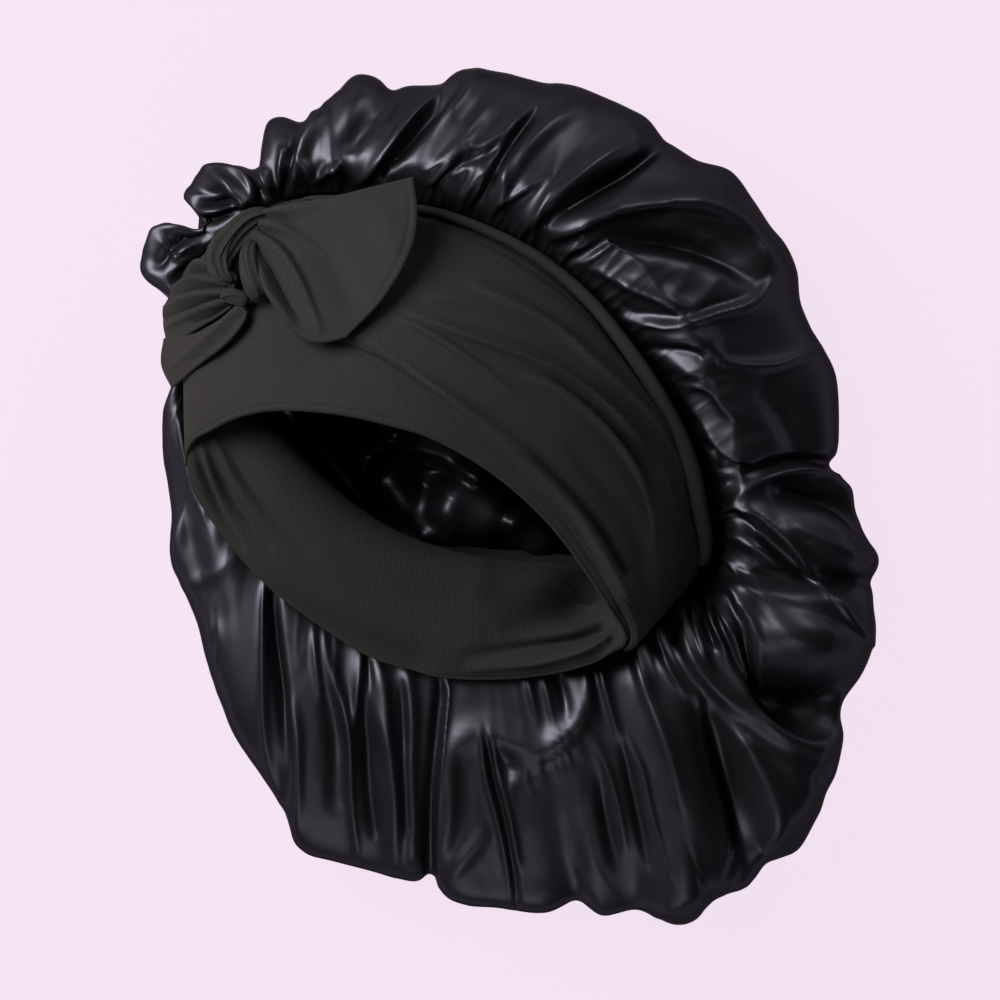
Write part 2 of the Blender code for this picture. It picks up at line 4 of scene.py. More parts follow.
import bpy
import numpy as np
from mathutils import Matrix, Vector


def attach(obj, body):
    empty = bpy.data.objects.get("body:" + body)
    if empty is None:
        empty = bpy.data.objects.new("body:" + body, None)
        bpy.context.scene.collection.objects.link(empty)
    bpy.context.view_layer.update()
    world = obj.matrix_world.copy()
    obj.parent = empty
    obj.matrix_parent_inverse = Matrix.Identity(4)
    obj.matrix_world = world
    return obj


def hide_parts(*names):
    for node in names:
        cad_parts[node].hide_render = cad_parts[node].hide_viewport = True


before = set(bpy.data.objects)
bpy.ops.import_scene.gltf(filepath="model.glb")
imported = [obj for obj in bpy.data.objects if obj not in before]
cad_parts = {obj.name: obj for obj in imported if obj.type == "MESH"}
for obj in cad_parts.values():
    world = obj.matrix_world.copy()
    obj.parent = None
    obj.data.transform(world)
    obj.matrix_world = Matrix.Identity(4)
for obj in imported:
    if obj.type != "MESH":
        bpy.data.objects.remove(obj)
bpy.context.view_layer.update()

# ---------------------------------------------------------------- camera
# It hangs 1.25 m above the surface and looks straight down on the mouth, as the photograph does.
# Places on the cloth are given below as it sees them, in pixels of its picture of 1000 by 1000.

CAMERA_MM = (-4.56, -1.82, 1250.0)
LENS_MM, SENSOR_MM, PICTURE_PX = 96.0, 36.0, 1000
MM = 0.001

camera_lens = bpy.data.cameras.new("camera")
camera_lens.lens, camera_lens.sensor_width = LENS_MM, SENSOR_MM
camera = bpy.data.objects.new("camera", camera_lens)
camera.location = [value * MM for value in CAMERA_MM]
bpy.context.collection.objects.link(camera)
bpy.context.scene.camera = camera
bpy.context.scene.view_settings.view_transform = "Standard"


# ---------------------------------------------------------------- surface and lights
# A wide sheet of pale pink backdrop paper, matt, lit evenly from behind as on a light table. One large soft
# box is the key at the upper left, a small one rims the upper right, a weak one fills from below, and a
# lamp with a snoot shines into the mouth. None is overhead, so satin that lies level stays black.

GLOW_PINK, GLOW_STRENGTH = "#f6e4f4", 0.955  # the light that comes through the paper
PAPER_PINK = "#2e2a2d"  # what the paper gives back of the lamps' light: little, so that it stays even
FLOOR_HALF_M = 6.0
FLOOR_DROP_M = 0.0004  # below the cloth that rests on it

SoftBox = namedtuple("SoftBox", "name x y z size watts")  # in metres
SOFT_BOXES = [
    SoftBox("key_upper_left", -0.84, 0.48, 0.88, 0.8, 28.0),
    SoftBox("rim_upper_right", 0.62, 1.02, 0.60, 0.4, 3.2),
    SoftBox("fill_below", -0.10, -0.95, 0.80, 0.6, 2.0),
]
SNOOT_M, SNOOT_AIM_M = (-0.50, -0.12, 1.08), (-0.040, 0.004, 0.030)
SNOOT_DEGREES, SNOOT_SIZE_M, SNOOT_WATTS = 7.0, 0.22, 22.0
ROOM_GREY, ROOM_STRENGTH = "#c8c4ca", 0.02


def linear(colour):
    """A hex colour in sRGB, turned to the linear values that a shader takes."""
    parts = [int(colour[i : i + 2], 16) / 255 for i in (1, 3, 5)]
    return [p / 12.92 if p <= 0.04045 else ((p + 0.055) / 1.055) ** 2.4 for p in parts] + [1.0]


def new_material(name):
    """A material with its node tree and its shader."""
    made = bpy.data.materials.new(name)
    made.use_nodes = True
    return made, made.node_tree, made.node_tree.nodes["Principled BSDF"]


paper, paper_tree, paper_shader = new_material("backdrop_paper_matt")
paper_shader.inputs["Base Color"].default_value = linear(PAPER_PINK)
paper_shader.inputs["Roughness"].default_value = 0.95
paper_shader.inputs["Specular IOR Level"].default_value = 0.1
paper_shader.inputs["Emission Color"].default_value = linear(GLOW_PINK)
paper_shader.inputs["Emission Strength"].default_value = GLOW_STRENGTH

floor_mesh = bpy.data.meshes.new("floor")
floor_corners = [
    (x * FLOOR_HALF_M, y * FLOOR_HALF_M, -FLOOR_DROP_M) for x, y in ((-1, -1), (1, -1), (1, 1), (-1, 1))
]
floor_mesh.from_pydata(floor_corners, [], [(0, 1, 2, 3)])
floor_mesh.materials.append(paper)
floor = bpy.data.objects.new("floor", floor_mesh)
bpy.context.collection.objects.link(floor)


def place_lamp(light, place, aim):
    """Hangs a light at a place and turns it to what it is aimed at."""
    lamp = bpy.data.objects.new(light.name, light)
    lamp.location = place
    lamp.rotation_mode = "QUATERNION"
    lamp.rotation_quaternion = (Vector(aim) - lamp.location).to_track_quat("-Z", "Y")
    bpy.context.collection.objects.link(lamp)


for box in SOFT_BOXES:
    light = bpy.data.lights.new(box.name, "AREA")
    light.shape, light.size, light.energy = "SQUARE", box.size, box.watts
    place_lamp(light, (box.x, box.y, box.z), (0, 0, 0))
snoot = bpy.data.lights.new("mouth_snoot", "SPOT")
snoot.spot_size, snoot.spot_blend = np.radians(SNOOT_DEGREES), 0.8
snoot.shadow_soft_size, snoot.energy = SNOOT_SIZE_M, SNOOT_WATTS
place_lamp(snoot, SNOOT_M, SNOOT_AIM_M)

world = bpy.data.worlds.new("studio")
world.use_nodes = True
world.node_tree.nodes["Background"].inputs["Color"].default_value = linear(ROOM_GREY)
world.node_tree.nodes["Background"].inputs["Strength"].default_value = ROOM_STRENGTH
bpy.context.scene.world = world

# ---------------------------------------------------------------- crown
# The bag of the bonnet: one round piece of black polyester satin, gathered all round into the band's seam.
# It lies on its back, so its edge spreads out in lobes and its folds run from the gathers to the edge.

# One row for each section round the mouth, anticlockwise from its right end, in mm and degrees.
#   turn, rim, rim_z        direction, radius and height of the crown's rim
#   seam_x, seam_y, seam_z  where band and crown are sewn together
#   hem_x, hem_y, hem_z     the band's free edge
#   bulge                   how far the band arches up between its seam and its hem
#   shoulder, shoulder_z    the crown's highest place: its share of the way from seam to rim, and height
#   puff                    how far the band is puffed up beside its seam, where it lies low under the mouth
Section = namedtuple(
    "Section", "turn rim rim_z seam_x seam_y seam_z hem_x hem_y hem_z bulge shoulder shoulder_z puff"
)
SECTIONS = [
    Section(0, 158, 32, 85, -4, 44, 42, -48, 86, 9, 0.30, 60, 0),
    Section(15, 157, 32, 80, 18, 52, 32, -33, 92, 10, 0.30, 68, 0),
    Section(30, 161, 32, 68, 43, 60, 21, -18, 98, 11, 0.30, 75, 0),
    Section(44, 172, 33, 52, 66, 65, 9, -5, 103, 12, 0.30, 80, 0),
    Section(57, 177, 34, 34, 87, 68, -5, 7, 107, 12, 0.30, 83, 0),
    Section(69, 182, 35, 15, 103, 70, -20, 17, 110, 12, 0.30, 85, 0),
    Section(81, 189, 35, -6, 115, 70, -36, 25, 112, 12, 0.30, 86, 0),
    Section(92, 194, 35, -28, 124, 69, -53, 30, 112, 12, 0.30, 85, 0),
    Section(103, 195, 35, -51, 129, 67, -71, 34, 111, 11, 0.32, 82, 0),
    Section(113, 198, 36, -77, 132, 64, -89, 36, 108, 10, 0.36, 77, 0),
    Section(123, 199, 37, -101, 130, 61, -105, 36, 104, 10, 0.42, 69, 0),
    Section(134, 201, 38, -124, 118, 57, -119, 33, 98, 10, 0.48, 61, 0),
    Section(146, 196, 38, -142, 101, 52, -130, 28, 91, 9, 0.48, 54, 1),
    Section(154, 176, 36, -145, 80, 48, -138, 24, 83, 8, 0.52, 53, 4),
    Section(164, 166, 34, -143, 65, 41, -142, 16, 75, 8, 0.52, 50, 12),
    Section(184, 159, 32, -134, 55, 32, -140, 0, 69, 9, 0.58, 49, 25),
    Section(206, 158, 31, -120, 48, 22, -128, -21, 64, 11, 0.60, 51, 32),
    Section(224, 169, 30, -102, 34, 16, -110, -42, 61, 12, 0.55, 51, 34),
    Section(239, 188, 30, -84, 12, 13, -88, -59, 59, 13, 0.47, 50, 32),
    Section(250, 184, 30, -64, -6, 12, -64, -73, 58, 13, 0.45, 49, 29),
    Section(261, 185, 30, -40, -19, 12, -39, -80, 58, 13, 0.42, 49, 25),
    Section(272, 190, 30, -14, -25, 12, -12, -82, 59, 13, 0.39, 50, 21),
    Section(283, 198, 30, 14, -27, 13, 15, -80, 61, 13, 0.37, 51, 16),
    Section(293, 208, 30, 41, -30, 15, 35, -75, 65, 12, 0.34, 53, 10),
    Section(303, 209, 30, 62, -33, 19, 46, -69, 69, 10, 0.31, 55, 4),
    Section(314, 205, 30, 77, -35, 24, 50, -64, 73, 9, 0.29, 57, 1),
    Section(328, 184, 31, 86, -28, 30, 49, -59, 77, 9, 0.28, 57, 0),
    Section(344, 172, 32, 88, -17, 37, 46, -54, 81, 9, 0.29, 58, 0),
]

# How sharply the crown's shoulder is creased, from section to section: 0 is round, 1 a ridge.
RIDGE = [
    0.5, 0.8, 0.9, 0.8, 0.6, 0.4, 0.3, 0.2, 0.1, 0, 0, 0, 0, 0,
    0, 0, 0, 0, 0, 0, 0, 0, 0, 0, 0, 0.1, 0.2, 0.3,
]  # fmt: skip

SATIN_WALL, KNIT_WALL = 0.9, 2.5
SEAM_GAP = 1.3  # between the edges of band and crown, where they are sewn together
SEAM_ALLOWANCE = 1.5  # by which they part further where the band is turned back over the crown
PUFF_START, PUFF_CREST = 0.03, 0.30  # shares of the band's width where its puff starts and is highest
PUFF_OVERHANG = 0.33  # how far the puff hangs over to the mouth, as a share of its height
OVERHANG_START, OVERHANG_WIDTH = 0.06, 0.34  # shares of the band's width
UNDERSIDE_TUCK = 27.0  # how far inside its rim the crown leaves the surface that it lies on
UNDERSIDE_MIDDLE = (-12.0, -6.0)
UP = np.array([0, 0, 1.0])
CROWN_COLUMNS = 960
SHOULDER_ROWS, RIM_ROWS, UNDER_ROWS, MIDDLE_ROWS = 25, 44, 16, 72
AT_RIM = SHOULDER_ROWS + RIM_ROWS - 2
INNER_STEP, UNDER_STEP, MIDDLE_STEP = 6, 2, 8  # of so many rows, one is kept where nothing shows

# The crown's outline in the picture, anticlockwise from its right end: its lobes and the notches between.
OUTLINE = [
    (873, 580), (872, 555), (863, 520), (852, 491), (840, 478), (837, 466), (840, 440), (839, 395),
    (834, 368), (820, 340), (812, 326), (802, 300), (797, 270), (785, 244), (770, 226), (754, 201),
    (740, 181), (725, 169), (701, 161), (688, 154), (665, 138), (650, 122), (638, 113), (610, 100),
    (580, 88), (560, 84), (545, 83), (520, 77), (500, 73), (480, 71), (465, 72), (455, 76), (444, 84),
    (425, 85), (405, 85), (392, 88), (380, 81), (365, 78), (355, 80), (345, 88), (337, 97), (325, 103),
    (311, 110), (301, 121), (285, 119), (272, 123), (266, 135), (260, 152), (257, 165), (246, 165),
    (230, 167), (215, 169), (204, 178), (190, 191), (185, 203), (190, 213), (203, 221), (185, 226),
    (170, 225), (160, 231), (152, 244), (147, 262), (148, 275), (162, 291), (176, 312), (178, 350),
    (172, 388), (163, 415), (160, 450), (164, 485), (168, 515), (170, 562), (180, 587), (195, 625),
    (205, 660), (222, 710), (235, 740), (260, 778), (280, 808), (292, 834), (305, 853), (330, 862),
    (380, 876), (412, 884), (430, 882), (446, 897), (470, 905), (500, 907), (545, 912), (575, 904),
    (590, 912), (605, 918), (638, 912), (660, 918), (678, 922), (695, 916), (705, 904), (740, 893),
    (756, 880), (766, 863), (782, 858), (800, 848), (819, 815), (826, 795), (838, 770), (848, 720),
    (856, 680), (857, 646), (868, 618),
]  # fmt: skip
OUTLINE_HEIGHT = 37.0  # of the cloth that makes the outline
LOBE_RELIEF, LOBE_TURN = 0.55, 7.0  # how much a lobe narrower than so many degrees also swells upwards

# A fold follows a path of places in the picture, each with its height there in mm (negative for a valley).
# Each row below gives its profile, its half widths in pixels to the left and right as one goes along it,
# and then its path. The profile is soft, crisp with a sharp crest, or a broad puff. Lean is how far the
# crest hangs over to the left, in mm.
Fold = namedtuple("Fold", "profile left right lean path")
FOLD_REACH = 3.4  # half widths, past which a fold is too low to count


def crest(away, fall, rounding, top):
    """A sharp crest, so many half widths from its top; rounding is small, and top is its square root."""
    return np.exp(-fall * (np.sqrt(away**2 + rounding) - top))


FOLD_PROFILES = {
    "soft": lambda away: np.exp(-(away**2)),
    "crisp": lambda away: crest(away, 1.7, 0.05, 0.2236),
    "puff": lambda away: np.exp(-(away**4)),
}


def new_fold(profile, left, right, *path, lean=0):
    """A row of the tables of folds."""
    return Fold(profile, left, right, lean, path)


soft, crisp, puff = (partial(new_fold, profile) for profile in FOLD_PROFILES)

CROWN_FOLD_DEPTH = 1.3  # scale of the heights below
CROWN_FOLDS = [
    # the broad swells of the right side, whose inner flanks rise gently away from the seam
    soft(20, 40, (800, 790, 5), (760, 840, 6), (700, 885, 5)),
    # the ruffles at the upper left
    soft(6, 6, (192, 221, -5.9), (214, 222, -5.2), (238, 212, -3.7)),
    crisp(4, 5, (152, 250, 1), (162, 233, 3.2), (184, 230, 3.2), (204, 227, 2)),
    soft(5, 5, (165, 265, 0.7), (178, 252, 2.4), (195, 243, 1.2)),
    soft(5, 5, (168, 274, 0.7), (185, 262, 2.4), (204, 254, 2.4)),
    soft(7, 6, (170, 240, -1.2), (190, 238, -3.7), (210, 236, -2.5)),
    crisp(5, 5, (196, 182, 1.2), (214, 173, 3.4), (238, 172, 3.4), (250, 182, 3.4), (255, 198, 2.2)),
    soft(5, 6, (222, 180, 1.2), (232, 187, 3.6), (246, 198, 3.6)),
    soft(4, 4, (196, 189, -1.7), (212, 190, -2.9), (225, 191, -1.2)),
    soft(4, 4, (202, 199, -1.2), (218, 200, -3.4), (232, 203, -2.4)),
    soft(5, 5, (200, 214, 1.2), (222, 209, 3.6), (240, 205, 3.6), (254, 203, 2.4)),
    soft(5, 5, (250, 166, -1.5), (256, 180, -4.8), (263, 197, -3.6)),
    soft(5, 5, (260, 166, 0.6), (266, 182, 4.8), (278, 198, 3.6)),
    soft(5, 5, (318, 106, -2.1), (303, 128, -3.5), (293, 155, -4.2), (287, 180, -4.2), (285, 198, -2.8)),
    soft(4, 4, (284, 150, 2.4), (281, 172, 3.4), (280, 196, 2.4)),
    soft(7, 6, (338, 98, 2.2), (320, 120, 3.7), (304, 145, 3.7), (293, 170, 3.7), (291, 196, 2.2)),
    soft(4, 4, (300, 158, 0.5), (308, 168, 2.9), (316, 180, 2.4)),
    soft(4, 4, (317, 181, 2.4), (328, 170, 3.4), (337, 166, 2.4)),
    soft(4, 4, (337, 166, 2.4), (341, 178, 2.9), (338, 190, 1.2)),
    soft(4, 4, (299, 176, 1.2), (306, 188, 2.9), (312, 196, 2.4)),
    soft(13, 15, (400, 90, -1.5), (374, 114, -4.5), (351, 140, -4), (334, 163, 0)),
    soft(8, 7, (150, 268, -0.5), (160, 262, -3), (172, 250, -3.5), (180, 240, -2)),
    crisp(4, 4, (160, 236, 0.5), (168, 247, 2.4), (178, 258, 2.6), (190, 268, 1)),
    soft(7, 7, (190, 205, -0.5), (203, 200, -3), (218, 201, -3.4), (232, 206, -1.5)),
    crisp(4, 4, (208, 172, 0.8), (218, 180, 2.6), (230, 191, 2.8), (246, 201, 1.2)),
    # the sharp folds above the large tail
    crisp(7, 5, (358, 184, 3.3), (385, 152, 4.6), (415, 114, 4.6), (444, 88, 3.3), (462, 75, 1.3), lean=-2),
    soft(6, 8, (378, 174, -3.7), (401, 147, -5.2), (426, 118, -4.4), (452, 94, -2.2)),
    soft(8, 8, (438, 125, 0.8), (452, 112, 2.4), (468, 92, 3.2), (478, 78, 2.4)),
    crisp(5, 4, (428, 170, 1.2), (445, 158, 1.9), (460, 143, 1.6), (472, 128, 0.9), (486, 108, 0.3)),
    crisp(5, 5, (430, 182, 2), (448, 165, 2.6), (462, 152, 2.6), (480, 147, 2.6), (496, 138, 2.6),
        (512, 120, 2), lean=-1),
    soft(5, 5, (440, 178, -1.4), (464, 160, -2.1), (484, 154, -2.1), (500, 145, -1.4)),
    crisp(4, 4, (453, 208, 1.2), (464, 194, 1.9), (482, 172, 1.9)),
    crisp(6, 4, (468, 207, 1.2), (478, 190, 1.9), (490, 164, 2.5), (502, 142, 2.5), (516, 122, 2.5),
        (534, 105, 1.2), lean=-1),
    soft(5, 6, (482, 200, -1.4), (496, 170, -2.8), (510, 146, -2.8), (526, 122, -2.8), (540, 106, -0.7)),
    soft(6, 6, (498, 160, 1.5), (504, 180, 2.2), (502, 202, 1.5)),
    crisp(5, 4, (487, 217, 1.2), (500, 203, 1.9), (524, 190, 2.2), (550, 179, 1.2)),
    soft(9, 9, (512, 168, 1.7), (530, 145, 2.5), (555, 122, 2.5), (580, 110, 1.7)),
    # the dark wedge and the rolled fold below it
    soft(12, 7, (518, 234, 2.3), (540, 214, 3.8), (562, 194, 4.6), (586, 174, 4.6), (610, 157, 3.8),
        (632, 145, 1.5)),
    soft(6, 6, (550, 217, -2.2), (580, 199, -5.9), (605, 184, -8.9), (630, 169, -9.6), (650, 154, -7.4),
        (664, 143, -1.5)),
    soft(15, 9, (540, 240, 1.7), (575, 222, 5), (610, 209, 7.5), (650, 203, 9.1), (700, 204, 9.1),
        (742, 222, 7.5), (770, 258, 3.3), lean=-5),
    soft(10, 14, (600, 236, -1.7), (650, 234, -7.8), (690, 240, -9.5), (728, 254, -7.8), (757, 280, -2.6)),
    crisp(5, 4, (540, 258, 1.2), (572, 250, 1.9), (600, 237, 1.2), (618, 228, 0.6)),
    crisp(4, 4, (560, 270, 1.2), (584, 262, 1.9), (604, 250, 1.9), (630, 233, 0.6)),
    soft(4, 4, (556, 262, -1.4), (584, 254, -1.7), (604, 244, -1.4)),
    crisp(8, 8, (586, 268, 2.2), (603, 272, 3), (635, 287, 3.8), (662, 299, 3.8), (690, 315, 2.2)),
    crisp(3.5, 5, (612, 327, 2), (632, 321, 3), (662, 322, 3.5), (690, 321, 3.5), (712, 313, 4),
        (742, 305, 4), (760, 293, 3), (770, 280, 1), lean=-1),
    soft(4, 4, (622, 313, -1.4), (660, 315, -1.4), (690, 314, -1.4), (714, 306, -1.4), (745, 298, -0.7)),
    soft(5, 5, (622, 306, -2.1), (630, 312, -2.1)),
    soft(12, 12, (636, 338, 1.9), (675, 336, 3.7), (706, 342, 2.8)),
    crisp(4, 4, (696, 346, 1), (712, 353, 3), (722, 362, 4), (748, 366, 4), (776, 366, 4), (800, 356, 3.5),
        (818, 348, 1)),
    soft(4, 4, (638, 354, -2), (660, 348, -2.7), (690, 350, -2.7), (706, 358, -2), (716, 367, -1)),
    soft(9, 9, (648, 360, 1.7), (680, 366, 3.3), (702, 373, 2.5)),
    crisp(5, 4, (655, 385, 1.2), (680, 385, 1.9), (702, 385, 2.5), (716, 394, 2.5), (727, 410, 1.9),
        (745, 419, 1.2)),
    # the flap beside the seam roll, and the crinkles below it
    crisp(15, 3.5, (684, 397, 1.8), (702, 418, 3), (720, 438, 3.7), (736, 453, 3.7), (753, 463, 3),
        lean=-2.5),
    soft(16, 16, (770, 395, -3), (790, 420, -4), (800, 445, -3)),
    soft(3.5, 3.5, (686, 414, 1), (697, 428, 1.6), (708, 437, 1.3)),
    soft(3.5, 3.5, (693, 436, 1), (701, 452, 1.6), (714, 459, 1)),
    soft(3.5, 3.5, (716, 443, 1.3), (725, 452, 2), (722, 463, 1)),
    soft(3.5, 3.5, (704, 463, 1.3), (716, 471, 1.6), (731, 473, 0.7)),
    soft(3.5, 3.5, (706, 478, 1.3), (716, 491, 2), (728, 485, 1)),
    soft(3.5, 3.5, (706, 499, 1.3), (718, 510, 2), (732, 506, 1.3)),
    soft(3.5, 3.5, (706, 513, 1), (716, 524, 1.6), (724, 531, 0.7)),
    soft(3.5, 3.5, (707, 448, -1.3), (716, 450, -2)),
    soft(3.5, 3.5, (718, 500, -1.3), (730, 499, -1.3)),
    # the lobe at the right
    soft(34, 40, (748, 622, 7), (792, 632, 15), (850, 640, 14)),
    soft(10, 10, (742, 574, -2), (790, 577, -4), (866, 580, -5)),
    soft(24, 24, (770, 520, 3), (820, 535, 6), (862, 560, 6)),
    soft(6, 6, (748, 468, -3), (780, 464, -5.2), (812, 461, -5.2), (842, 466, -5.2)),
    crisp(5, 9, (735, 498, 1.3), (752, 485, 2), (775, 475, 3.3), (805, 470, 3.9), (835, 475, 3.9),
        (853, 491, 3.3), (864, 520, 2), lean=1),
    soft(12, 14, (785, 492, -5.6), (820, 496, -9.2), (850, 510, -8.3), (862, 540, -3.7)),
    crisp(10, 3.5, (722, 512, 2), (738, 503, 3), (756, 512, 4), (778, 534, 4.5), (800, 558, 4.5),
        (822, 586, 4.5), (842, 614, 4), (858, 640, 2), lean=-2),
    soft(4, 5, (736, 515, -1.4), (753, 527, -2.7), (775, 547, -2), (792, 562, -0.7)),
    soft(7, 7, (718, 538, 2.3), (736, 535, 3.1), (756, 547, 3.1), (775, 563, 2.7), (794, 574, 1.5)),
    crisp(4, 4, (718, 548, 1.2), (730, 562, 1.9), (748, 585, 1.9)),
    soft(14, 14, (745, 590, 2), (790, 591, 4), (835, 600, 3)),
    soft(4, 4, (824, 588, -0.7), (845, 581, -2), (868, 583, -1.4)),
    soft(8, 8, (790, 527, 1.6), (812, 543, 2.4), (842, 556, 1.6)),
    # the fan of gathers and the deep pocket at the lower right
    crisp(6, 6, (650, 620, 1.4), (660, 648, 2.8), (676, 678, 2.8), (700, 700, 2.1), (745, 740, 2.1),
        (790, 762, 1.4)),
    soft(9, 8, (676, 605, 2.4), (690, 650, 3.2), (712, 684, 4), (745, 713, 3.2), (785, 740, 3.2),
        (822, 753, 1.6)),
    soft(4, 4, (690, 600, 1.4), (696, 630, 2), (706, 655, 2)),
    soft(4, 4, (700, 597, -2), (705, 620, -3.4), (714, 644, -2.7)),
    crisp(4, 4, (707, 594, 1.2), (714, 616, 2.5), (724, 645, 1.9)),
    soft(4, 4, (713, 590, -2), (721, 618, -3.4), (731, 650, -3.4), (738, 674, -2.7)),
    crisp(3.5, 3.5, (718, 596, 1.8), (728, 624, 3), (737, 650, 3), (743, 670, 2.4)),
    soft(5, 5, (735, 600, -2.1), (741, 628, -3.5), (747, 655, -4.9), (756, 688, -5.7)),
    crisp(6, 4, (738, 588, 1.9), (747, 625, 2.5), (755, 660, 2.5), (766, 695, 1.2)),
    soft(26, 26, (770, 700, -9), (800, 712, -15), (830, 705, -13)),
    crisp(7, 12, (736, 665, 2.2), (746, 698, 4.3), (775, 731, 5.8), (810, 745, 5.8), (840, 736, 4.3),
        (853, 708, 2.2), lean=3),
    soft(15, 15, (706, 712, -4), (722, 760, -9), (738, 810, -11), (740, 850, -8), (722, 888, -4)),
    crisp(6, 5, (700, 700, 1.3), (706, 750, 2), (722, 805, 2.6), (727, 845, 2.6), (716, 885, 1.3)),
    soft(6, 6, (742, 842, 0.7), (735, 868, 2.2), (722, 892, 1.5)),
    soft(10, 10, (745, 745, 2.6), (770, 790, 2.6), (775, 830, 2.6), (762, 855, 1.7)),
    # the long folds of the lower edge
    soft(26, 24, (654, 690, 2), (676, 750, 5), (688, 820, 6), (684, 885, 4)),
    soft(9, 6, (630, 637, 2), (647, 694, 3), (667, 748, 3), (676, 800, 1)),
    crisp(4, 4, (600, 664, 1.2), (606, 690, 2.2), (616, 728, 1.6)),
    soft(5, 4, (592, 668, -2.7), (598, 700, -2)),
    soft(5, 5, (622, 735, -0.7), (630, 780, -2.8), (640, 825, -3.5), (648, 864, -1.4)),
    soft(6, 6, (600, 780, -0.7), (606, 820, -3), (615, 860, -1.5)),
    crisp(4, 4, (594, 744, 1.2), (606, 765, 1.9), (617, 800, 1.9), (626, 848, 1.2)),
    crisp(4, 4, (617, 728, 1.2), (632, 752, 1.9), (643, 772, 1.9), (652, 815, 1.9), (668, 870, 1.2)),
    soft(13, 11, (440, 790, 0.9), (448, 758, 1.8), (466, 738, 2.7), (487, 733, 3.1), (515, 742, 3.6),
        (545, 748, 3.6), (572, 728, 3.6), (588, 700, 3.6), (590, 672, 2.7)),
    crisp(4, 4, (528, 680, 1.2), (532, 697, 1.9), (536, 714, 1.2)),
    crisp(4, 4, (544, 680, 1.2), (549, 700, 1.9), (552, 718, 1.2)),
    soft(5, 5, (560, 684, -2.1), (566, 705, -2.1), (562, 722, -0.7)),
    soft(3, 3, (487, 742, -1.9), (493, 778, -3.2), (504, 820, -3.2), (512, 865, -3.2), (517, 902, -1.9)),
    crisp(4, 4, (483, 742, 1.9), (486, 775, 2.2), (497, 815, 2.2), (507, 858, 2.2), (513, 895, 1.2)),
    crisp(4, 4, (491, 742, 1.9), (500, 780, 2.2), (510, 820, 2.2), (517, 862, 1.9)),
    soft(3, 3, (590, 735, -1.9), (565, 753, -2.6), (536, 775, -3.2), (517, 793, -1.9)),
    crisp(4, 4, (585, 728, 1.9), (560, 748, 2.5), (530, 769, 2.5), (511, 790, 1.9)),
    crisp(4, 4, (590, 744, 1.2), (570, 757, 1.9), (540, 779, 1.9), (516, 802, 1.2)),
    soft(9, 9, (498, 758, -1.7), (508, 768, -2.5)),
    soft(9, 9, (452, 768, 1.7), (450, 810, 2.5), (443, 850, 1.7)),
    soft(7, 7, (484, 836, 1.5), (462, 862, 2.3), (446, 882, 0.8)),
    soft(4.5, 4.5, (441, 688, -3.5), (435, 740, -4.8), (430, 800, -4.8), (429, 850, -5.5),
        (430, 886, -4.8)),
    crisp(4, 6, (447, 690, 1.9), (441, 740, 2.5), (436, 800, 2.5), (435, 850, 2.5), (437, 884, 1.9),
        lean=1.5),
    crisp(3.5, 6, (266, 586, 1.8), (266, 660, 2.7), (267, 720, 2.7), (272, 765, 2.1), (281, 802, 1.2),
        lean=-1.5),
    soft(5, 5, (273, 595, -2.8), (276, 640, -4.2), (282, 690, -4.2), (284, 730, -2.1), (287, 762, -0.7)),
    soft(5, 5, (292, 705, 0.7), (298, 740, 2.1), (299, 790, 2.5), (297, 846, 1.4)),
    crisp(4, 4, (313, 634, 1.2), (317, 670, 1.9), (321, 698, 0.6)),
    crisp(5, 5, (324, 634, 1.3), (329, 668, 2), (343, 702, 2.6), (350, 745, 2.6), (352, 800, 2.3),
        (358, 855, 1.3)),
    soft(9, 9, (330, 705, -1.7), (336, 745, -2.5), (336, 800, -1.7)),
    crisp(4, 4, (362, 655, 1.2), (358, 690, 2.2), (354, 722, 1.9)),
    soft(4, 4, (368, 662, -2.7), (370, 685, -1.4)),
    soft(6, 6, (366, 700, -1.5), (367, 745, -3), (369, 790, -3), (375, 832, -2.2)),
    soft(6, 12, (384, 680, 2.2), (390, 740, 3.7), (396, 800, 3.7), (396, 864, 1.5)),
    soft(4, 4, (402, 690, -1.4), (405, 760, -2), (408, 830, -1.4)),
    soft(7, 7, (408, 676, 1.5), (412, 720, 2.3), (410, 780, 2.3), (413, 856, 1.5)),
    crisp(5, 5, (178, 588, 1), (198, 581, 1.6), (216, 573, 1.6), (236, 559, 1.3)),
    soft(18, 14, (150, 440, -1.5), (176, 500, -3), (192, 556, -3), (214, 612, -1.5)),
    crisp(4, 4, (178, 418, 0.8), (184, 452, 1.4), (192, 486, 1.4), (206, 520, 0.6)),
    soft(16, 16, (460, 895, 2), (520, 905, 3), (560, 900, 2)),
    soft(14, 14, (650, 900, 2), (676, 908, 4), (695, 900, 2)),
]

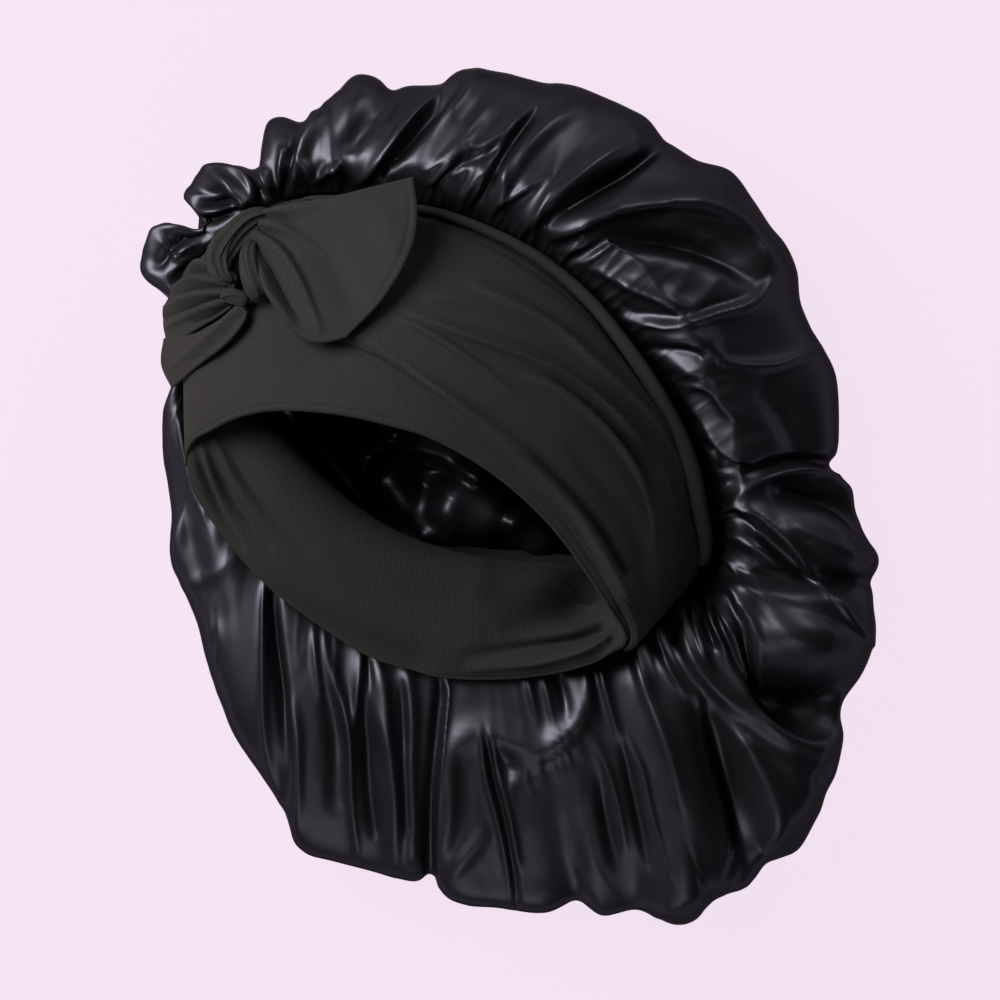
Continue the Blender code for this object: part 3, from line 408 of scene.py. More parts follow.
# The satin of the far side, crumpled, as it shows through the mouth: broad bumps and folds.
Bump = namedtuple("Bump", "x y length width turn height")
CRUMPLES = [
    Bump(-22, 2, 30, 22, -20, 9),
    Bump(-60, 18, 26, 16, -30, 7),
    Bump(10, -14, 22, 16, -20, 7),
    Bump(-92, 34, 18, 14, -30, 7),
    Bump(-24, 40, 34, 16, 10, 9),
]
INSIDE_FOLDS = [
    puff(38, 36, (468, 506, 20), (480, 512, 20)),
    soft(26, 24, (392, 490, 12), (406, 508, 14), (426, 524, 12)),
    crisp(16, 9, (406, 420, 18), (388, 437, 26), (372, 452, 24), (366, 462, 14), lean=3),
    soft(7, 9, (366, 455, 12), (367, 470, 16), (371, 486, 10)),
    puff(22, 16, (410, 440, 13), (446, 450, 14), (480, 468, 13)),
    crisp(5, 4, (394, 458, 1), (418, 465, 4), (440, 468, 2)),
    puff(20, 20, (526, 528, 14), (540, 542, 14)),
    puff(14, 14, (312, 424, 16), (334, 432, 16)),
    soft(12, 10, (424, 538, 10), (446, 544, 10)),
]

# The fine gathers at the seam: how many there are, how long they run and how often, and how strong they
# are from section to section.
GATHERS = 150
GATHER_LENGTHS, GATHER_ODDS = [9.0, 14.0, 22.0, 36.0], [0.35, 0.30, 0.22, 0.13]
GATHER_STRENGTH = [
    1.2, 1.1, 1.0, 1.0, 1.0, 1.0, 1.0, 1.0, 0.9, 0.9, 0.9, 0.8, 0.6, 0.4,
    0.3, 0.3, 0.5, 0.7, 0.8, 0.9, 0.9, 0.9, 0.9, 1.0, 1.0, 1.2, 1.3, 1.3,
]  # fmt: skip


def curve(a, b, c, d, t):
    """The curve from b to c at a share t of the way, where a comes before b and d after c."""
    return b + 0.5 * t * (c - a + t * (2 * a - 5 * b + 4 * c - d + t * (3 * (b - c) + d - a)))


def around(values, u):
    """The closed curve through a row of values for each section, at section numbers u."""
    values, u = np.asarray(values, float), np.asarray(u, float)
    first = np.floor(u).astype(int)
    t = (u - first)[..., None] if values.ndim == 2 else u - first
    return curve(*(values[(first + step) % len(values)] for step in (-1, 0, 1, 2)), t)


def along(points, t):
    """The open curve through points, at shares t of the way along it."""
    points = np.asarray(points, float)
    row = np.vstack([2 * points[0] - points[1], points, 2 * points[-1] - points[-2]])
    place = np.clip(np.asarray(t, float), 0, 1) * (len(points) - 1)
    first = np.minimum(place.astype(int), len(points) - 2)
    s = (place - first)[..., None]
    return curve(*(row[first + step] for step in range(4)), s)


def unit(vectors):
    """Vectors turned to a length of 1."""
    return vectors / np.maximum(np.linalg.norm(vectors, axis=-1, keepdims=True), 1e-9)


def ease(t):
    """Goes smoothly from 0 to 1 while t does."""
    t = np.clip(t, 0, 1)
    return t * t * (3 - 2 * t)


def column(name, u):
    """One value of the sections' table, at section numbers u."""
    return around([getattr(row, name) for row in SECTIONS], u)


def seam(u):
    """The seam between band and crown at section numbers u."""
    return around([(row.seam_x, row.seam_y, row.seam_z) for row in SECTIONS], u)


def hem(u):
    """The band's free edge at section numbers u."""
    return around([(row.hem_x, row.hem_y, row.hem_z) for row in SECTIONS], u)


def band_middle(u, v):
    """The middle of the band's wall at section number u and share v of the way from seam to hem."""
    u, v = np.broadcast_arrays(np.asarray(u, float), np.asarray(v, float))
    v = v[..., None]
    arch = 4 * v * (1 - v) * column("bulge", u)[..., None] * UP
    rise = ease((v - PUFF_START) / (PUFF_CREST - PUFF_START)) * (1 - v) / (1 - PUFF_CREST) * UP
    over = PUFF_OVERHANG * np.sin(np.pi * np.clip((v - OVERHANG_START) / OVERHANG_WIDTH, 0, 1)) ** 2
    to_mouth = unit((seam(u) - hem(u)) * np.array([1.0, 1.0, 0]))
    return seam(u) * (1 - v) + hem(u) * v + arch + column("puff", u)[..., None] * (rise + over * to_mouth)


def grid_normals(grid, closed):
    """Normals of a grid of points; its first index runs round, and is closed or open."""
    if closed:
        across = np.roll(grid, -1, axis=0) - np.roll(grid, 1, axis=0)
    else:
        across = np.gradient(grid, axis=0)
    return unit(np.cross(across, np.gradient(grid, axis=1)))


def fold_field(places, folds):
    """What the folds do at places in the picture: their height, and their shift to the side, in mm."""
    flat = places.reshape(-1, 2)
    relief, shift = np.zeros(len(flat)), np.zeros((len(flat), 3))
    for fold in folds:
        path = along(fold.path, np.linspace(0, 1, 6 * (len(fold.path) - 1) + 1))
        reach = FOLD_REACH * max(fold.left, fold.right)
        low, high = path[:, :2].min(axis=0) - reach, path[:, :2].max(axis=0) + reach
        near = np.flatnonzero(np.all((flat > low) & (flat < high), axis=1))
        if not len(near):
            continue
        run = np.diff(path[:, :2], axis=0)
        away = flat[near, None] - path[None, :-1, :2]
        share = np.clip(np.sum(away * run, axis=2) / np.sum(run**2, axis=1), 0, 1)
        away = away - share[..., None] * run
        step = np.argmin(np.sum(away**2, axis=2), axis=1)
        row = np.arange(len(near))
        away, share = away[row, step], share[row, step]
        to_left = unit(np.stack([run[step, 1], -run[step, 0]], axis=1))
        side = np.sum(away * to_left, axis=1)
        bump = FOLD_PROFILES[fold.profile](
            np.linalg.norm(away, axis=1) / np.where(side > 0, fold.left, fold.right)
        )
        tall = path[step, 2] * (1 - share) + path[step + 1, 2] * share
        relief[near] += tall * bump
        if fold.lean:
            over = fold.lean * bump * np.abs(tall) / max(abs(height) for _, _, height in fold.path)
            shift[near, 0] += over * to_left[:, 0]
            shift[near, 1] -= over * to_left[:, 1]
    return relief.reshape(places.shape[:-1]), shift.reshape(*places.shape[:-1], 3)


def bump_field(bumps, x, y):
    """The height of oval bumps, turned in the plane, at places x, y in mm."""
    total = np.zeros_like(x)
    for bump in bumps:
        cosine, sine = np.cos(np.radians(bump.turn)), np.sin(np.radians(bump.turn))
        long_way = (x - bump.x) * cosine + (y - bump.y) * sine
        short_way = (y - bump.y) * cosine - (x - bump.x) * sine
        total += bump.height * np.exp(-((long_way / bump.length) ** 2) - (short_way / bump.width) ** 2)
    return total


def seen(points):
    """Where the camera sees points, in pixels from the picture's upper left corner."""
    points = np.asarray(points, float)
    scale = PICTURE_PX * LENS_MM / SENSOR_MM / (CAMERA_MM[2] - points[..., 2])
    across = PICTURE_PX / 2 + (points[..., 0] - CAMERA_MM[0]) * scale
    down = PICTURE_PX / 2 - (points[..., 1] - CAMERA_MM[1]) * scale
    return np.stack([across, down], axis=-1)


def unseen(places, height):
    """The points at a height that the camera sees at the given places of its picture."""
    scale = (CAMERA_MM[2] - height) / (PICTURE_PX * LENS_MM / SENSOR_MM)
    x = (places[..., 0] - PICTURE_PX / 2) * scale + CAMERA_MM[0]
    y = (PICTURE_PX / 2 - places[..., 1]) * scale + CAMERA_MM[1]
    return np.stack([x, y], axis=-1)


def outline_radius(turn, smoothing):
    """The radius of the crown's outline at a direction in degrees, smoothed over so many degrees."""
    edge = unseen(around(OUTLINE, np.arange(0, len(OUTLINE), 0.2)), OUTLINE_HEIGHT)
    turns = np.degrees(np.arctan2(edge[:, 1], edge[:, 0]))
    order = np.argsort(turns)
    spread = np.linspace(-2, 2, 17)
    parts = [
        np.interp(turn + away * smoothing, turns[order], np.linalg.norm(edge, axis=1)[order], period=360)
        for away in spread
    ]
    return np.average(parts, axis=0, weights=np.exp(-(spread**2)))


def rim(u, smoothing=0.4):
    """The edge of the crown as the camera sees it."""
    turns = np.radians([row.turn for row in SECTIONS])
    heading = around(np.stack([np.cos(turns), np.sin(turns)], axis=1), u)
    turn = np.degrees(np.arctan2(heading[:, 1], heading[:, 0]))
    radius = outline_radius(turn, smoothing)
    turn = np.radians(turn)
    return np.stack([radius * np.cos(turn), radius * np.sin(turn), column("rim_z", u)], axis=1)


def crown_rows(u):
    """The smooth crown: points down each section, and how much of a fold's height each row takes."""
    start, edge = seam(u), rim(u)
    top = start + (edge - start) * column("shoulder", u)[:, None]
    top[:, 2] = column("shoulder_z", u)
    to_band = unit(band_middle(u, 0.04) - start)
    slope = top - start
    slope[:, 2] = (top[:, 2] - start[:, 2]) * np.pi / 2
    to_crown = unit(slope)
    turned_back = (1 + np.sum(to_band * to_crown, axis=1)) / 2
    offset = unit(to_crown - to_band) * (SEAM_GAP + turned_back * (KNIT_WALL + SEAM_ALLOWANCE) / 2)[:, None]
    tuck = 1 - UNDERSIDE_TUCK / np.linalg.norm(edge[:, :2], axis=1, keepdims=True)
    under = np.hstack([edge[:, :2] * tuck, np.zeros((len(u), 1))])
    middle = np.array([*UNDERSIDE_MIDDLE, 0.0])
    ridge = around(RIDGE, u)
    rows, folded = [], []
    for t in np.linspace(0, 1, SHOULDER_ROWS)[:-1]:  # from the seam up to the shoulder
        point = start + (top - start) * t + offset * (1 - t)
        rise = np.sin(t * np.pi / 2) * (1 - ridge) + t * ridge
        point[:, 2] = start[:, 2] + (top[:, 2] - start[:, 2]) * rise + offset[:, 2] * (1 - t)
        rows.append(point)
        folded.append(ease(t / 0.7))
    for t in np.linspace(0, 1, RIM_ROWS)[:-1]:  # from the shoulder down to the rim
        point = top + (edge - top) * np.sin(t * np.pi / 2)
        steep = 0.45 * ridge
        fall = np.cos(t * np.pi / 2) * (1 - steep) + (1 - np.sin(t * np.pi / 2)) * steep
        point[:, 2] = edge[:, 2] + (top[:, 2] - edge[:, 2]) * fall
        rows.append(point)
        folded.append(1.0 - 0.6 * t**2)
    for t in np.linspace(0, 1, UNDER_ROWS)[:-1]:  # below the rim, down to the floor
        point = edge + (under - edge) * (1 - np.cos(t * np.pi / 2))
        point[:, 2] = edge[:, 2] * (1 - np.sin(t * np.pi / 2))
        rows.append(point)
        folded.append(0.4 * (1 - ease(t)))
    for t in np.linspace(0, 1, MIDDLE_ROWS)[:-1]:  # along the floor to the middle
        point = under + (middle - under) * (1 - (1 - t) ** 1.5)
        point[:, 2] = bump_field(CRUMPLES, point[:, 0], point[:, 1])
        rows.append(point)
        folded.append(0.0)
    return np.stack(rows, axis=1), np.array(folded)


def crown_normals(grid):
    """Normals that point out of the bag all round its rim."""
    normals = grid_normals(grid, True)
    return normals * np.sign(np.sum(normals[:, AT_RIM, :2] * grid[:, AT_RIM, :2]))


def way_along(grid, axis):
    """How far each point of a grid lies from its first row along an axis, measured on the cloth."""
    steps = np.diff(grid, axis=axis, prepend=grid.take([0], axis))
    return np.cumsum(np.linalg.norm(steps, axis=2), axis=axis)


def gather_field(u, part):
    """The height of the fine gathers, which start at the seam and run out at different lengths."""
    chance = np.random.default_rng(11)
    way = way_along(part, 1)
    pitch = np.linalg.norm(np.roll(part, -1, axis=0) - np.roll(part, 1, axis=0), axis=2)
    pitch = pitch / (2 * len(SECTIONS) / len(u))
    spare = np.linalg.norm(part[:, SHOULDER_ROWS] - part[:, 0], axis=1)[:, None]
    steps = chance.uniform(0.6, 1.4, GATHERS)
    starts = np.cumsum(steps) / steps.sum() * len(SECTIONS)
    height = np.zeros(way.shape)
    for begin in starts:
        length = chance.choice(GATHER_LENGTHS, p=GATHER_ODDS) * chance.uniform(0.8, 1.2)
        drift = chance.normal(0, 0.10) / 25.0
        tall = chance.uniform(0.7, 1.5) * (0.7 + length / 30.0)
        wide = 1.15 + 0.045 * way
        gone = (u[:, None] - begin - drift * way + len(SECTIONS) / 2) % len(SECTIONS) - len(SECTIONS) / 2
        away = gone * pitch / wide
        fading = np.exp(-((way / length) ** 2)) * way / (way + 1.5)
        height += tall * fading * crest(away, 1.4, 0.08, 0.283)
    room = np.clip(spare / 30.0, 0, 1) ** 2
    return (height - 0.4 * np.exp(-((way / 12.0) ** 2))) * around(GATHER_STRENGTH, u)[:, None] * room


def smooth_noise(chance, across, down, x, y):
    """Smooth random values from -1 to 1 on a lattice that closes along x; x and y in lattice steps."""
    lattice = chance.uniform(-1, 1, (across, down))
    i, j = np.floor(x).astype(int), np.floor(y).astype(int)
    a, b = ease(x - i), ease(y - j)
    near, far = lattice[i % across], lattice[(i + 1) % across]
    pick = np.arange(x.size).reshape(x.shape)
    near, far = near.reshape(-1, down), far.reshape(-1, down)
    j, k = np.clip(j, 0, down - 1), np.clip(j + 1, 0, down - 1)
    low = near[pick, j] * (1 - a) + far[pick, j] * a
    high = near[pick, k] * (1 - a) + far[pick, k] * a
    return low * (1 - b) + high * b


# Layers of small wrinkles: how many fit round the crown, their length and height in mm, and how sharp.
# On the bag's upright side, where its cut is eased in, they pucker it this much deeper inwards.
Wrinkles = namedtuple("Wrinkles", "count length height sharp")
CROWN_WRINKLES = [Wrinkles(36, 60, 1.3, 0.3), Wrinkles(60, 55, 0.8, 0.8), Wrinkles(120, 30, 0.45, 1)]
SIDE_PUCKER, PUCKER_OUT = 3.4, 0.4


def wrinkle_field(u, part):
    """The height of the small wrinkles, which run outwards and waver."""
    chance = np.random.default_rng(5)
    way = way_along(part, 1)
    turn = np.broadcast_to((u / len(SECTIONS))[:, None], way.shape)
    height = np.zeros(way.shape)
    for layer in CROWN_WRINKLES:
        drift = smooth_noise(chance, 16, 12, turn * 16, way / 30.0) * 0.9
        values = smooth_noise(chance, layer.count, 60, turn * layer.count + drift, way / layer.length)
        ridges = (1 - 2 * np.sqrt(values**2 + 0.004)) * layer.sharp + values * (1 - layer.sharp)
        strength = 0.5 + 0.5 * smooth_noise(chance, 24, 12, turn * 24, way / 40.0)
        height += layer.height * ridges * strength
    return height * ease(way / 15.0)


def add_piece(name, points, faces, uvs, finish, node):
    """A closed mesh of the scene, in mm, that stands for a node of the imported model."""
    mesh = bpy.data.meshes.new(name)
    mesh.from_pydata((np.asarray(points) * MM).tolist(), [], faces)
    layer = mesh.uv_layers.new(name="cloth")
    corner = np.empty(len(mesh.loops), dtype=np.int32)
    mesh.loops.foreach_get("vertex_index", corner)
    layer.data.foreach_set("uv", (np.asarray(uvs) * MM)[corner].astype(np.float32).ravel())
    mesh.shade_smooth()
    mesh.materials.append(finish)
    piece = bpy.data.objects.new(name, mesh)
    bpy.context.collection.objects.link(piece)
    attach(piece, "root")
    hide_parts(node)
    return piece


def grid_faces(count, rows, first, closed, flip):
    """The quads of a grid of points whose numbers start at first."""
    faces = []
    for i in range(count if closed else count - 1):
        a, b = first + i * rows, first + (i + 1) % count * rows
        for j in range(rows - 1):
            face = (a + j, b + j, b + j + 1, a + j + 1)
            faces.append(face[::-1] if flip else face)
    return faces


def blurred(field, passes):
    """The field of a grid that is closed along its first index, smoothed over neighbouring points."""
    for _ in range(passes):
        field = (np.roll(field, 1, axis=0) + 2 * field + np.roll(field, -1, axis=0)) / 4
        inside = (field[:, :-2] + 2 * field[:, 1:-1] + field[:, 2:]) / 4
        field = np.concatenate([field[:, :1], inside, field[:, -1:]], axis=1)
    return field


def least_near(field, reach):
    """The least value of a field within a few grid steps; it keeps an inner face within an outer one."""
    for _ in range(reach):
        field = np.minimum(np.minimum(np.roll(field, 1, axis=0), np.roll(field, -1, axis=0)), field)
        lower = np.minimum(np.minimum(field[:, :-2], field[:, 2:]), field[:, 1:-1])
        field = np.concatenate([field[:, :1], lower, field[:, -1:]], axis=1)
    return field


def halving_faces(count, fine, fine_rows, row, coarse, coarse_rows):
    """Joins a row of a closed grid to the first row of one with half as many columns."""
    faces = []
    for i in range(count // 2):
        a, b, c = (fine + k % count * fine_rows + row for k in (2 * i, 2 * i + 1, 2 * i + 2))
        d, e = coarse + i * coarse_rows, coarse + (i + 1) % (count // 2) * coarse_rows
        faces += [(a, b, d), (b, e, d), (b, c, e)]
    return faces


CLOTH_PER_SECTION = 40.0  # mm of satin round the crown, from one section to the next
CLOTH_TO_MIDDLE = 260  # mm of satin from the seam to the middle of the underside


def crown_piece():
    """The satin bag: its outer and inner face, joined at the seam's edge and closed below."""
    u = np.arange(CROWN_COLUMNS) * len(SECTIONS) / CROWN_COLUMNS
    grid, folded = crown_rows(u)
    top_rows = AT_RIM + UNDER_ROWS - 1
    upper, weight = grid[:, :top_rows], folded[:top_rows]
    normals = crown_normals(grid)
    relief, shift = fold_field(seen(upper), CROWN_FOLDS)
    lobes = np.linalg.norm(rim(u)[:, :2], axis=1) - np.linalg.norm(rim(u, LOBE_TURN)[:, :2], axis=1)
    below = np.arange(top_rows) - AT_RIM  # rows from the rim on
    swelling = ease((below + AT_RIM - SHOULDER_ROWS) / (0.8 * RIM_ROWS)) * ease(1 - below / 8)
    relief = blurred(relief * CROWN_FOLD_DEPTH + lobes[:, None] * LOBE_RELIEF * swelling, 1) * weight
    wrinkles = wrinkle_field(u, upper)
    side = ease(below / 4) * ease((UNDER_ROWS - 2 - below) / 5)
    relief = relief + gather_field(u, upper) + wrinkles * weight
    relief = relief + SIDE_PUCKER * side * np.minimum(wrinkles, PUCKER_OUT)
    inner = grid.copy()
    inner[:, :top_rows] += normals[:, :top_rows] * least_near(relief, 4)[..., None]
    grid[:, :top_rows] += normals[:, :top_rows] * relief[..., None] + shift * weight[None, :, None]
    grid[..., 2] = np.maximum(grid[..., 2], 0.0)
    inner = (inner - normals * SATIN_WALL)[::2]
    inner[..., 2] = np.maximum(inner[..., 2], 0.3)
    pole = np.array([*UNDERSIDE_MIDDLE, 0.0])
    pole[2] = bump_field(CRUMPLES, pole[:1], pole[1:2])[0]
    inner_pole = pole + [0, 0, SATIN_WALL]
    crumple, crumple_shift = fold_field(seen(inner[:, top_rows:]), INSIDE_FOLDS)
    inner[:, top_rows:, 2] += np.maximum(crumple, 0.0)
    inner[:, top_rows:] += crumple_shift
    inner_pole[2] += max(fold_field(seen(inner_pole[None]), INSIDE_FOLDS)[0][0], 0.0)
    way = way_along(grid, 1)
    cloth = np.stack([np.broadcast_to((u * CLOTH_PER_SECTION)[:, None], way.shape), way], axis=2)
    # the upper face to the rim; the underside and the inner face with half of its columns; and the floor
    # of the inner face with a quarter
    beneath = np.r_[AT_RIM + 1 : top_rows : UNDER_STEP, top_rows : grid.shape[1] : MIDDLE_STEP]
    parts = [
        (grid[:, : AT_RIM + 1], cloth[:, : AT_RIM + 1]),
        (grid[::2, beneath], cloth[::2, beneath]),
        (inner[:, :top_rows:INNER_STEP], cloth[::2, :top_rows:INNER_STEP]),
        (inner[::2, top_rows:], cloth[::4, top_rows:]),
    ]
    points = np.vstack([part.reshape(-1, 3) for part, _ in parts] + [pole, inner_pole])
    uvs = np.vstack([flat.reshape(-1, 2) for _, flat in parts] + [[[0, CLOTH_TO_MIDDLE]] * 2])
    rows, below_rows, inner_rows, floor_rows = (part.shape[1] for part, _ in parts)
    half, quarter = CROWN_COLUMNS // 2, CROWN_COLUMNS // 4
    second = CROWN_COLUMNS * rows
    third = second + half * below_rows
    fourth = third + half * inner_rows
    faces = grid_faces(CROWN_COLUMNS, rows, 0, True, False)
    faces += halving_faces(CROWN_COLUMNS, 0, rows, rows - 1, second, below_rows)
    faces += grid_faces(half, below_rows, second, True, False)
    faces += grid_faces(half, inner_rows, third, True, True)
    faces += grid_faces(quarter, floor_rows, fourth, True, True)
    inside = halving_faces(CROWN_COLUMNS, 0, rows, 0, third, inner_rows)
    inside += halving_faces(half, third, inner_rows, inner_rows - 1, fourth, floor_rows)
    faces += [face[::-1] for face in inside]
    for i in range(half):
        a, b = (second + (k % half + 1) * below_rows - 1 for k in (i, i + 1))
        faces.append((a, b, len(points) - 2))
    for i in range(quarter):
        a, b = (fourth + (k % quarter + 1) * floor_rows - 1 for k in (i, i + 1))
        faces.append((b, a, len(points) - 1))
    return add_piece("crown_satin", points, faces, uvs, satin, "crown")


# Black polyester satin, filament yarn woven with long floats and piece dyed. The floats mirror the lamps
# in the dye's own blue black, equally from every side, so its edges stay dark: hence a metallic shader
# with no pale rim. The eye gets broad, soft-edged lights along the folds, stretched across the floats.
SATIN_BLACK = "#3b3a40"  # the light that the floats give back; no other light comes from the dye
SATIN_ROUGH_MIN, SATIN_ROUGH_MAX = 0.37, 0.45
YARN_MM, SLUB_YARNS = 0.7, 12  # real yarns are 0.1 mm; as coarse as this, they just show in the render


def add_node(tree, kind, settings=(), **sockets):
    """Adds a node; a socket's value is a number, or an output of another node to link."""
    node = tree.nodes.new(kind)
    for name, value in dict(settings).items():
        setattr(node, name, value)
    for name, value in sockets.items():
        socket = node.inputs[int(name[1:]) if name[1:].isdigit() else name.replace("_", " ")]
        if isinstance(value, bpy.types.NodeSocket):
            tree.links.new(value, socket)
        else:
            socket.default_value = value
    return node


satin, satin_tree, satin_shader = new_material("polyester_satin_woven_black")
satin_shader.inputs["Base Color"].default_value = linear(SATIN_BLACK)
satin_shader.inputs["Metallic"].default_value = 0.9
satin_shader.inputs["Specular Tint"].default_value = (0.0, 0.0, 0.0, 1.0)
satin_shader.inputs["Anisotropic"].default_value = 0.25
satin_uv = add_node(satin_tree, "ShaderNodeUVMap", {"uv_map": "cloth"}).outputs["UV"]
satin_yarns = add_node(
    satin_tree,
    "ShaderNodeMapping",
    Vector=satin_uv,
    Scale=(1 / (SLUB_YARNS * YARN_MM * MM), 1 / (YARN_MM * MM), 1.0),
).outputs["Vector"]
satin_slubs = add_node(
    satin_tree, "ShaderNodeTexNoise", Vector=satin_yarns, Scale=1.0, Detail=2.0
).outputs["Fac"]
satin_gloss = add_node(
    satin_tree, "ShaderNodeMapRange", Value=satin_slubs, To_Min=SATIN_ROUGH_MIN, To_Max=SATIN_ROUGH_MAX
).outputs["Result"]
satin_bump = add_node(
    satin_tree, "ShaderNodeBump", Height=satin_slubs, Strength=0.10, Distance=0.0002
).outputs["Normal"]
satin_tree.links.new(satin_gloss, satin_shader.inputs["Roughness"])
satin_tree.links.new(satin_bump, satin_shader.inputs["Normal"])

crown = crown_piece()

# ---------------------------------------------------------------- band
# The head band: a wide loop of black cotton jersey, doubled, with its fold as the free hem.
# It is sewn to the crown's gathers with its lower edge, and its hem stands open as the mouth.

BAND_COLUMNS = 448
HEM_ROUND = 0.014  # share of the band's width in which its doubled hem turns over
HEM_LINE, HEM_LINE_WIDTH = 0.030, 0.007  # of the hem's stitching, as shares of the band's width
HEM_LINE_DEPTH = 0.5
BAND_FOLDS = [  # of its inner face, which shows where the band has flopped outwards
    soft(30, 26, (246, 430, 3), (276, 480, 5), (330, 530, 6), (400, 568, 6), (470, 582, 4)),
    soft(20, 20, (196, 480, -1), (214, 530, -3), (262, 588, -4), (330, 632, -4), (410, 662, -3)),
    crisp(5, 4, (470, 668, 1.5), (530, 662, 4), (580, 652, 5), (608, 641, 4)),
    soft(7, 7, (470, 656, -1), (520, 650, -4), (570, 640, -8), (602, 626, -8)),
    soft(22, 22, (500, 634, -2), (545, 614, -9), (582, 594, -15), (600, 574, -15)),
    soft(4, 4, (197, 452, -1), (205, 480, -4), (219, 515, -4), (240, 548, -1.5)),
    crisp(4, 4, (202, 446, 0.5), (211, 474, 2.4), (226, 508, 2.4), (248, 540, 0.8)),
    soft(4, 4, (207, 443, -1), (221, 476, -3.6), (242, 512, -3.4), (272, 546, -1.2)),
    soft(5, 5, (214, 440, 0.5), (232, 476, 1.8), (258, 514, 1.4), (292, 548, 0.4)),
    soft(6, 6, (222, 438, -0.6), (244, 474, -2.6), (274, 512, -2), (312, 548, -0.6)),
]


def band_normal(u, v):
    """Points out of the band's outer face, which looks up at the top of the mouth."""
    step = 0.02  # of a section, and of the band's width
    across = band_middle(u + step, v) - band_middle(u - step, v)
    up = band_middle(u, v + step) - band_middle(u, v - step)
    return unit(np.cross(across, up))


def wall_faces(count, rows, closed):
    """The quads of a wall: an outer grid of points, then an inner one, joined all round their edges."""
    inside = count * rows
    faces = grid_faces(count, rows, 0, closed, False) + grid_faces(count, rows, inside, closed, True)
    for i in range(count if closed else count - 1):
        a, b = i * rows, (i + 1) % count * rows
        faces.append((b, a, inside + a, inside + b))
        a, b = a + rows - 1, b + rows - 1
        faces.append((a, b, inside + b, inside + a))
    if not closed:
        for j in range(rows - 1):
            last = (count - 1) * rows
            faces.append((j, j + 1, inside + j + 1, inside + j))
            faces.append((last + j + 1, last + j, inside + last + j, inside + last + j + 1))
    return faces


def cloth_wall(name, node, outer, inner, closed):
    """A knit wall between two grids of points, with its cloth measured off along both of their ways."""
    round_way, cross_way = way_along(outer, 0), way_along(outer, 1)
    middle = round_way[:, [round_way.shape[1] // 2]]
    uvs = np.stack([np.broadcast_to(middle, cross_way.shape), cross_way], axis=2).reshape(-1, 2)
    points = np.vstack([outer.reshape(-1, 3), inner.reshape(-1, 3)])
    faces = wall_faces(*outer.shape[:2], closed)
    return add_piece(name, points, faces, np.vstack([uvs, uvs]), knit, node)


def hem_profile(v, edge_share):
    """Half thickness of a folded hem at shares v: full, and round over the last edge_share."""
    return np.sqrt(np.clip(1 - np.clip((v - 1 + edge_share) / edge_share, 0, 1) ** 2, 0.0025, 1))


# Black cotton jersey, knitted fine, doubled and brushed: matt and warm, with a faint bloom of fibre where
# the light grazes it and close upright wales that just show.
KNIT_DARK, KNIT_LIGHT, KNIT_BLOOM = "#131211", "#302e2c", "#c9c4bd"
WALE_MM, COURSE_MM = 1.1, 0.9  # real wales are 0.7 mm apart; they are drawn coarser, so that they show
GRAIN_SHARE = 0.6  # of the yarn's unevenness in the height of the loops, beside the wales

knit, knit_tree, knit_shader = new_material("cotton_jersey_knitted_black")
knit_shader.inputs["Roughness"].default_value = 0.82
knit_shader.inputs["IOR"].default_value = 1.45
knit_shader.inputs["Specular IOR Level"].default_value = 0.14
knit_shader.inputs["Sheen Weight"].default_value = 0.02
knit_shader.inputs["Sheen Roughness"].default_value = 0.45
knit_shader.inputs["Sheen Tint"].default_value = linear(KNIT_BLOOM)
knit_uv = add_node(knit_tree, "ShaderNodeUVMap", {"uv_map": "cloth"}).outputs["UV"]
knit_wales = add_node(
    knit_tree,
    "ShaderNodeTexWave",
    {"wave_type": "BANDS", "bands_direction": "X"},
    Vector=knit_uv,
    Scale=2 * np.pi / 20 / (WALE_MM * MM),
    Distortion=0.6,
    Detail=1.0,
    Detail_Scale=2.0,
).outputs["Fac"]
knit_loops = add_node(
    knit_tree, "ShaderNodeMapping", Vector=knit_uv, Scale=(1 / (WALE_MM * MM), 1 / (COURSE_MM * MM), 1.0)
).outputs["Vector"]
knit_grain = add_node(
    knit_tree, "ShaderNodeTexNoise", Vector=knit_loops, Scale=1.0, Detail=3.0
).outputs["Fac"]
knit_height = add_node(
    knit_tree, "ShaderNodeMath", {"operation": "MULTIPLY_ADD"}, _0=knit_grain, _1=GRAIN_SHARE, _2=knit_wales
).outputs["Value"]
knit_bump = add_node(
    knit_tree, "ShaderNodeBump", Height=knit_height, Strength=0.30, Distance=0.0003
).outputs["Normal"]
knit_tree.links.new(knit_bump, knit_shader.inputs["Normal"])
knit_colour = add_node(knit_tree, "ShaderNodeMix", {"data_type": "RGBA"}, Factor=knit_grain)
knit_colour.inputs[6].default_value = linear(KNIT_DARK)
knit_colour.inputs[7].default_value = linear(KNIT_LIGHT)
knit_tree.links.new(knit_colour.outputs[2], knit_shader.inputs["Base Color"])

band_u = np.arange(BAND_COLUMNS)[:, None] * len(SECTIONS) / BAND_COLUMNS
band_v = np.concatenate([
    np.linspace(0.0, 0.30, 22)[:-1],
    np.linspace(0.30, 0.93, 24),
    np.linspace(0.936, 1 - HEM_ROUND, 10),
    1 - HEM_ROUND + HEM_ROUND * np.sin(np.linspace(0, np.pi / 2, 6)[1:]),
])[None, :]  # fmt: skip
band_wall = band_middle(band_u, band_v)
band_out = grid_normals(band_wall, True)
band_out = band_out * np.sign(np.sum(band_out * band_normal(band_u, band_v), axis=-1, keepdims=True))
band_half = KNIT_WALL / 2 * hem_profile(band_v, HEM_ROUND)
hem_groove = HEM_LINE_DEPTH * np.exp(-(((band_v - 1 + HEM_LINE) / HEM_LINE_WIDTH) ** 2))
band_inner_relief, _ = fold_field(seen(band_wall), BAND_FOLDS)
band_inner_side = np.clip(-band_out[..., 2] * 3, 0, 1)  # folded only where the inner face looks up
